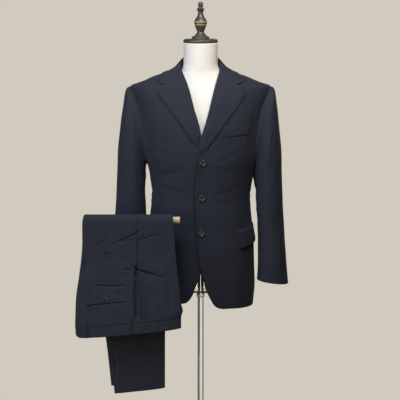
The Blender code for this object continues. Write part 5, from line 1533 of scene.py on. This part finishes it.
def button_mesh(name, radius, thick, holes):
    """A four-hole button about its own axis, rim up, with its thread, from z = -thick / 2."""
    top, bottom = thick / 2, -thick / 2
    profile = [(share * radius, top - down * thick) for share, down in BUTTON_PROFILE]
    disc = lathe(name, fine_profile(profile, 2), HORN, 44)
    cutter = bmesh.new()
    for k in range(4):
        turn = math.pi / 4 + k * math.pi / 2
        place = Matrix.Translation((holes * math.cos(turn), holes * math.sin(turn), 0))
        bmesh.ops.create_cone(cutter, cap_ends=True, segments=12, radius1=HOLE_SHARE * radius,
                              radius2=HOLE_SHARE * radius, depth=4 * thick, matrix=place)
    cut = add_object(name + "_holes", bpy.data.meshes.new(name + "_holes"))
    cutter.to_mesh(cut.data)
    cutter.free()
    boolean = disc.modifiers.new("holes", "BOOLEAN")
    boolean.operation, boolean.object, boolean.solver = "DIFFERENCE", cut, "EXACT"
    done = bpy.data.meshes.new_from_object(disc.evaluated_get(bpy.context.evaluated_depsgraph_get()))
    bpy.data.objects.remove(cut, do_unlink=True)
    bpy.data.objects.remove(disc, do_unlink=True)
    shape = bmesh.new()
    shape.from_mesh(done)
    far = holes * math.cos(math.pi / 4)
    for sign in (1, -1):
        for shift in (-SEWING_APART, SEWING_APART):
            heights = [top - down * thick for down in (0.3, 0.16, 0.12, 0.16, 0.3)]
            heights = [bottom - 0.0006, *heights, bottom - 0.0006]
            shares = (0, 0, 0.12, 0.5, 0.88, 1, 1)
            route = [((2 * s - 1) * far, sign * far + shift, z) for s, z in zip(shares, heights)]
            strand(shape, route, SEWING_RADIUS, 7, 1)
    shape.to_mesh(done)
    shape.free()
    done.materials.clear()
    done.materials.append(HORN)
    done.materials.append(NAVY_THREAD)
    return done


def place_button(name, mesh, place, facing, spin):
    made = add_object(name + "_horn", mesh.copy())
    turn = Vector((0, 0, 1)).rotation_difference(Vector(facing)).to_matrix().to_4x4()
    made.matrix_world = Matrix.Translation(Vector(place)) @ turn @ Matrix.Rotation(spin, 4, "Z")
    riding(made, name, name)


def make_buttons():
    large = button_mesh("button_large", BUTTON_RADIUS, BUTTON_THICK, 0.0023)
    small = button_mesh("button_small", CUFF_BUTTON_RADIUS, SMALL_BUTTON_THICK, 0.0017)
    hip = button_mesh("button_hip", BACK_BUTTON_RADIUS, SMALL_BUTTON_THICK, 0.0018)
    for number, (x, height) in enumerate(BUTTONS, 1):
        turn, height = turn_at(np.array(x), np.array(height)), np.array(height)
        place = front_point("left", turn, height, JACKET_WALL / 2 + BUTTON_SHANK + BUTTON_THICK / 2)
        place_button(f"jacket_button_{number}", large, place, body_normal(turn, height), 0.3 * number)
    for side in SIDES:
        for number in range(1, CUFF_BUTTONS + 1):
            down = np.array(1 - (CUFF_FIRST + (number - 1) * CUFF_STEP) / SLEEVE_LENGTH)
            angle = SLEEVE_BACK_SEAM.at(down)[0] + CUFF_BUTTON_TURN
            place = sleeve_point(side, down, angle, JACKET_WALL / 2 + BUTTON_SHANK + SMALL_BUTTON_THICK / 2)
            place_button(f"cuff_button_{side}_{number}", small, place, sleeve_normal(side, down, angle), 0.7 * number)
    x, z = BACK_BUTTON
    lift = TROUSER_WALL / 2 + 2 * BUTTON_SHANK + SMALL_BUTTON_THICK / 2
    for leg in SIDES:
        place = trunk_at(leg, x, z, lift)
        place_button(f"trousers_pocket_button_{leg}", hip, place, place - trunk_at(leg, x, z, 0.0), 0.5)
    for mesh in [mesh for mesh in bpy.data.meshes if mesh.users == 0]:
        bpy.data.meshes.remove(mesh)


# ---- stitches ----------------------------------------------------------------------------------------------


def stitch_row(shape, points, pitch, length, radius, sink=0.00012):
    """Stitches along a line on cloth that faces forward: short tubes whose ends dive into it."""
    run = run_of(points)
    lift = np.array([-1.4, 0.3, 0.7, 0.3, -1.4]) * radius - sink
    for start in np.arange(pitch / 2, run[-1] - length, pitch):
        at = start + np.array([0.0, 0.18, 0.5, 0.82, 1.0]) * length
        x, y, z = (np.interp(at, run, column) for column in points.T)
        strand(shape, stacked(x, y - lift, z), radius, 5)


def buttonhole(shape, at, end, up, share=1.0, radius=0.00045, half=0.0009):
    """A worked buttonhole: close stitches down both lips of a slit, round at one end."""
    length = share * np.linalg.norm(end - at)
    way, up = unit(end - at), unit(up)
    side = np.cross(up, way)
    lip = at + way * length * np.linspace(0, 1, 26)[:, None]
    turn = np.linspace(0, np.pi, 8)[1:-1, None]
    eye = at + way * (length + 0.0012 * np.sin(turn)) + side * half * np.cos(turn)
    outline = np.vstack([lip + side * half, eye, lip[::-1] - side * half])
    strand(shape, outline + up * radius * 0.5, radius, 8)


def threads(name, slot, look=NAVY_THREAD):
    """An empty bmesh, and the function that makes it an object when it is full."""
    shape = bmesh.new()

    def finish():
        mesh = bpy.data.meshes.new(name)
        shape.to_mesh(mesh)
        shape.free()
        mesh.materials.append(look)
        riding(add_object(name, mesh), slot)

    return shape, finish


def make_stitches():
    shape, finish = threads("jacket_buttonholes", "jacket_front_left")
    for x, height in BUTTONS:
        x, height = floats(x + np.array([0.0085, 0.0215]), height - 0.0005)
        start, end = on_front("left", x, height, JACKET_WALL / 2)
        buttonhole(shape, start, end, body_normal(turn_at(x[0], height[0]), height[0]))
    finish()

    shape, finish = threads("lapel_buttonhole", "jacket_lapel_left")
    row = LAPEL["left"].at([0.905, 0.955])
    x, z = (between(row[:, k], row[:, k + 2], np.array([0.74, 0.965])) for k in (0, 1))
    start, end = on_front("left", x, z, 0.0037 + JACKET_WALL / 2)
    buttonhole(shape, start, end, body_normal(turn_at(x[0], z[0]), z[0]), 0.9)
    finish()

    shape, finish = threads("trouser_pocket_stitching", "trousers_front_left")
    x, z = smooth_curve(POCKET_EDGE, 40).T
    x, z = (x + 0.0105)[(z > 0.724) & (z < 0.852)], z[(z > 0.724) & (z < 0.852)]
    stitch_row(shape, trunk_at("left", x, z, TROUSER_WALL / 2), 0.003, 0.0021, 0.00028)
    x = np.linspace(-0.34, -0.225, 60)
    z = np.interp(x, BACK_POCKET_X, BACK_POCKET_Z) - 0.0082
    stitch_row(shape, trunk_at("left", x, z, TROUSER_WALL / 2), 0.0026, 0.0018, 0.00022)
    finish()

    # Near-black threads in the front seam, along the side pocket's mouth and along the waistband's lower edge:
    # painted shadow lines.
    nominal = np.linspace(0.034, 0.344, 150)
    painted_shadow_line("trousers_front_left", on_trunk("left", nominal, LEGS.at(nominal)[:, 2], 0.0002), 0.0005)
    x, z = smooth_curve(POCKET_EDGE, 30).T
    x, z = (x - 0.0006)[(z > 0.716) & (z < 0.856)], z[(z > 0.716) & (z < 0.856)]
    painted_shadow_line("trousers_side_pocket_left", trunk_at("left", x, z, 0.0036), 0.0019)
    x = np.linspace(-0.369, -0.062, 120)
    painted_shadow_line("trousers_waistband_left", on_trunk("left", np.full(120, WAISTBAND), x, -0.0002), 0.0006)
    # Each slot's painted shadow lines become one piece of near-black thread.
    for slot, lines in PAINTED_SHADOW_LINES.items():
        shape, finish = threads(slot + "_felling", slot, SHADOW_LINE_THREAD)
        for points, radius in lines:
            strand(shape, points, radius, 6)
        finish()


# ---- dress form and stand ----------------------------------------------------------------------------------


def make_form():
    """The torso's cover, drawn in a little along its four seams, with flat ends."""
    heights = np.r_[np.linspace(FORM_BOTTOM, 1.34, 60)[:-1], np.linspace(1.34, 1.46, 44)[:-1],
                    np.linspace(1.46, NECK_TOP, 16)]
    turns = np.arange(0, 360, 3.0)
    P = section(FORM, turns, heights[:, None])
    centre = P.mean(axis=1, keepdims=True)
    P = between(P, centre, 0.004)
    seam = sum(bell((turns - turn + 180) % 360 - 180, 2.2) for turn in (0, 90, 180, 270))
    P = P + unit(centre - P) * (0.0006 * seam)[:, None]
    count, points = len(turns), P.reshape(-1, 3)
    low, high, top = len(points), len(points) + 1, len(points) - count
    faces = wrapped_faces(len(heights), count, False)
    faces += [((k + 1) % count, k, low) for k in range(count)]
    faces += [(top + k, top + (k + 1) % count, high) for k in range(count)]
    points = np.vstack([points, P[0].mean(axis=0), P[-1].mean(axis=0)])
    riding(mesh_object("form_cover", points, faces, LINEN), "form_torso", "form_torso")


def pole_ring(name, low, high, radius, edge, share, look, segments=72):
    """A ring round the pole with rounded outer edges, a share of each edge cut back at its middle."""
    bore = POLE_RADIUS + 0.0003
    corner = [(bore, 0.0004), (bore + 0.0004, 0.0), (radius - edge, 0.0), (radius - share * edge, 0.3 * edge),
              (radius, edge)]
    profile = [(r, high - down) for r, down in corner] + [(r, low + up) for r, up in corner[::-1]]
    turns = np.linspace(0, 2 * np.pi, segments, endpoint=False)
    points = [(r * math.cos(t), r * math.sin(t), h) for t in turns for r, h in profile]
    return mesh_object(name, points, wrapped_faces(segments, len(profile), True), look)


def make_stand():
    chrome = metal("stand_chrome", (0.66, 0.65, 0.63), 0.1, (60, 60, 900))
    satin = metal("collar_satin_steel", (0.78, 0.77, 0.74), 0.3, (200, 200, 900))
    steel = metal("base_brushed_steel", (0.5, 0.5, 0.49), 0.3, (500, 500, 40))
    black = metal("arm_black_steel", (0.018, 0.018, 0.02), 0.38, (160, 160, 160), 0.3)
    cap_wood = dark_wood("cap_dark_wood")
    finial_wood = dark_wood("finial_dark_wood", ((1.579, 0.0028), (1.57, 0.003)))
    low, high = BASE_BOSS + 0.0003, FORM_BOTTOM - 0.0003
    tube = [(0.0, high)] + [(POLE_RADIUS, h) for h in (high, *np.linspace(high - 0.01, low + 0.01, 8), low)]
    cap = [(r, NECK_TOP + h) for r, h in fine_profile(CAP, 5)]
    finial = [(r, FINIAL_TOP - down) for r, down in fine_profile(FINIAL, 5)]
    for node, make, name, *form in (
        ("neck_cap", lathe, "cap_turned", cap, cap_wood, 112),
        ("finial", lathe, "finial_turned", finial, finial_wood, 80),
        ("stand_pole", lathe, "pole_tube", tube + [(0.0, low)], chrome, 72),
        ("stand_collar", pole_ring, "stand_collar_ring", COLLAR_LOW, COLLAR_HIGH, COLLAR_RADIUS, 0.0015, 0.4, satin),
        ("arm_clamp", pole_ring, "arm_clamp_ring", CLAMP_LOW, CLAMP_HIGH, CLAMP_RADIUS, 0.002, 0.3, black),
        ("stand_base", lathe, "base_plate", BASE_PROFILE, steel, 128),
    ):
        riding(make(name, *form), node, node)
    for node, look in (("trouser_arm", black), ("trouser_rod", pale_wood())):
        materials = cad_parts[node].data.materials
        materials.clear()
        materials.append(look)


# ---- the stage ---------------------------------------------------------------------------------------------


def make_camera():
    camera = add_object("camera", bpy.data.cameras.new("camera"))
    camera.data.lens, camera.data.sensor_width, camera.data.sensor_fit = 126.54, 36.0, "HORIZONTAL"
    camera.data.shift_x = -0.6 / 400
    camera.location = (0.0, -4.3, 1.742)
    camera.rotation_euler = (math.radians(80.6), 0.0, 0.0)
    bpy.context.scene.camera = camera


def make_world():
    """A plain warm wall to the eye, nearly dark as light, and a window between two flanks to shiny things."""
    world = bpy.data.worlds.new("studio")
    world.use_nodes = True
    w = Tree(world.node_tree)
    ways = w.axes(w.node("TexCoord").outputs["Generated"])
    azimuth = w.math("ARCTAN2", ways[0], w.times(ways[1], -1.0))

    def within(value, low, high, soften):
        rise = w.math("DIVIDE", w.math("SUBTRACT", value, low), soften)
        return w.math("MINIMUM", rise, w.math("DIVIDE", w.math("SUBTRACT", high, value), soften))

    window = w.math("MINIMUM", within(azimuth, -0.75, 1.32, 0.22), within(ways[2], -0.42, 0.1, 0.1))
    flanks = w.mix(within(azimuth, 0.3, 4.0, 0.6), (0.195, 0.177, 0.14), (0.315, 0.215, 0.14))
    mirrored = w.mix(window, flanks, (1.0, 1.03, 1.01))
    rays = w.node("LightPath").outputs
    unseen = w.node("Background", {0: w.mix(rays["Is Glossy Ray"], (0.03, 0.026, 0.02), mirrored)}).outputs[0]
    seen = w.tree.nodes["Background"]
    w.link((0.638, 0.59, 0.515), seen.inputs[0])
    both = w.node("MixShader", {0: rays["Is Camera Ray"], 1: unseen, 2: seen.outputs[0]})
    w.link(both.outputs[0], w.tree.nodes["World Output"].inputs[0])
    bpy.context.scene.world = world


LAMPS = (  # name, place, aim, size, power, colour
    ("key", (-0.3, -1.3, 2.6), (0.0, 0.0, 1.2), 0.8, 25.5, (0.713, 0.832, 1.0)),
    ("top", (0.35, -0.55, 2.2), (0.05, 0.0, 1.3), 0.6, 7.6, (1.0, 0.86, 0.7)),
    ("left", (-2.0, -1.6, 1.3), (0.0, 0.0, 1.0), 1.2, 19.5, (0.93, 0.955, 1.0)),
    ("low", (-1.4, -2.6, 0.8), (0.0, 0.0, 1.0), 1.2, 6.8, (1.0, 0.62, 0.12)),
    ("back", (0.8, 3.0, 2.0), (0.0, 0.0, 1.1), 1.6, 48.0, (1.0, 0.97, 0.93)),
    ("inside", (-0.05, 0.04, 0.775), (-0.015, 0.11, 0.762), 0.03, 0.13, (1.0, 0.98, 0.95)),
)
FLOOR_RADIUS, FLOOR_SIDES = 1.15, 128


def make_stage():
    make_camera()
    make_world()
    bpy.context.scene.view_settings.view_transform = "Standard"
    turns = np.linspace(0, 2 * np.pi, FLOOR_SIDES, endpoint=False)
    rim = [(FLOOR_RADIUS * math.cos(t), FLOOR_RADIUS * math.sin(t), 0.0) for t in turns]
    mesh_object("floor", rim, [list(range(FLOOR_SIDES))], floor_paint())
    for name, place, aim, size, power, colour in LAMPS:
        light = bpy.data.lights.new(name, "AREA")
        light.shape, light.size, light.energy, light.color = "DISK", size, power, colour
        lamp = add_object(name, light)
        lamp.visible_glossy = name not in ("inside", "back")
        lamp.location = place
        lamp.rotation_euler = (Vector(aim) - Vector(place)).to_track_quat("-Z", "Y").to_euler()


make_stage()
make_form()
make_stand()
make_body()
make_lining()
make_lapels()
make_collar()
make_pockets()
make_sleeves()
for _leg in SIDES:
    make_leg_panel(_leg, "front")
    make_leg_panel(_leg, "back")
    make_waistband(_leg)
    make_trouser_trim(_leg)
make_buttons()
make_stitches()
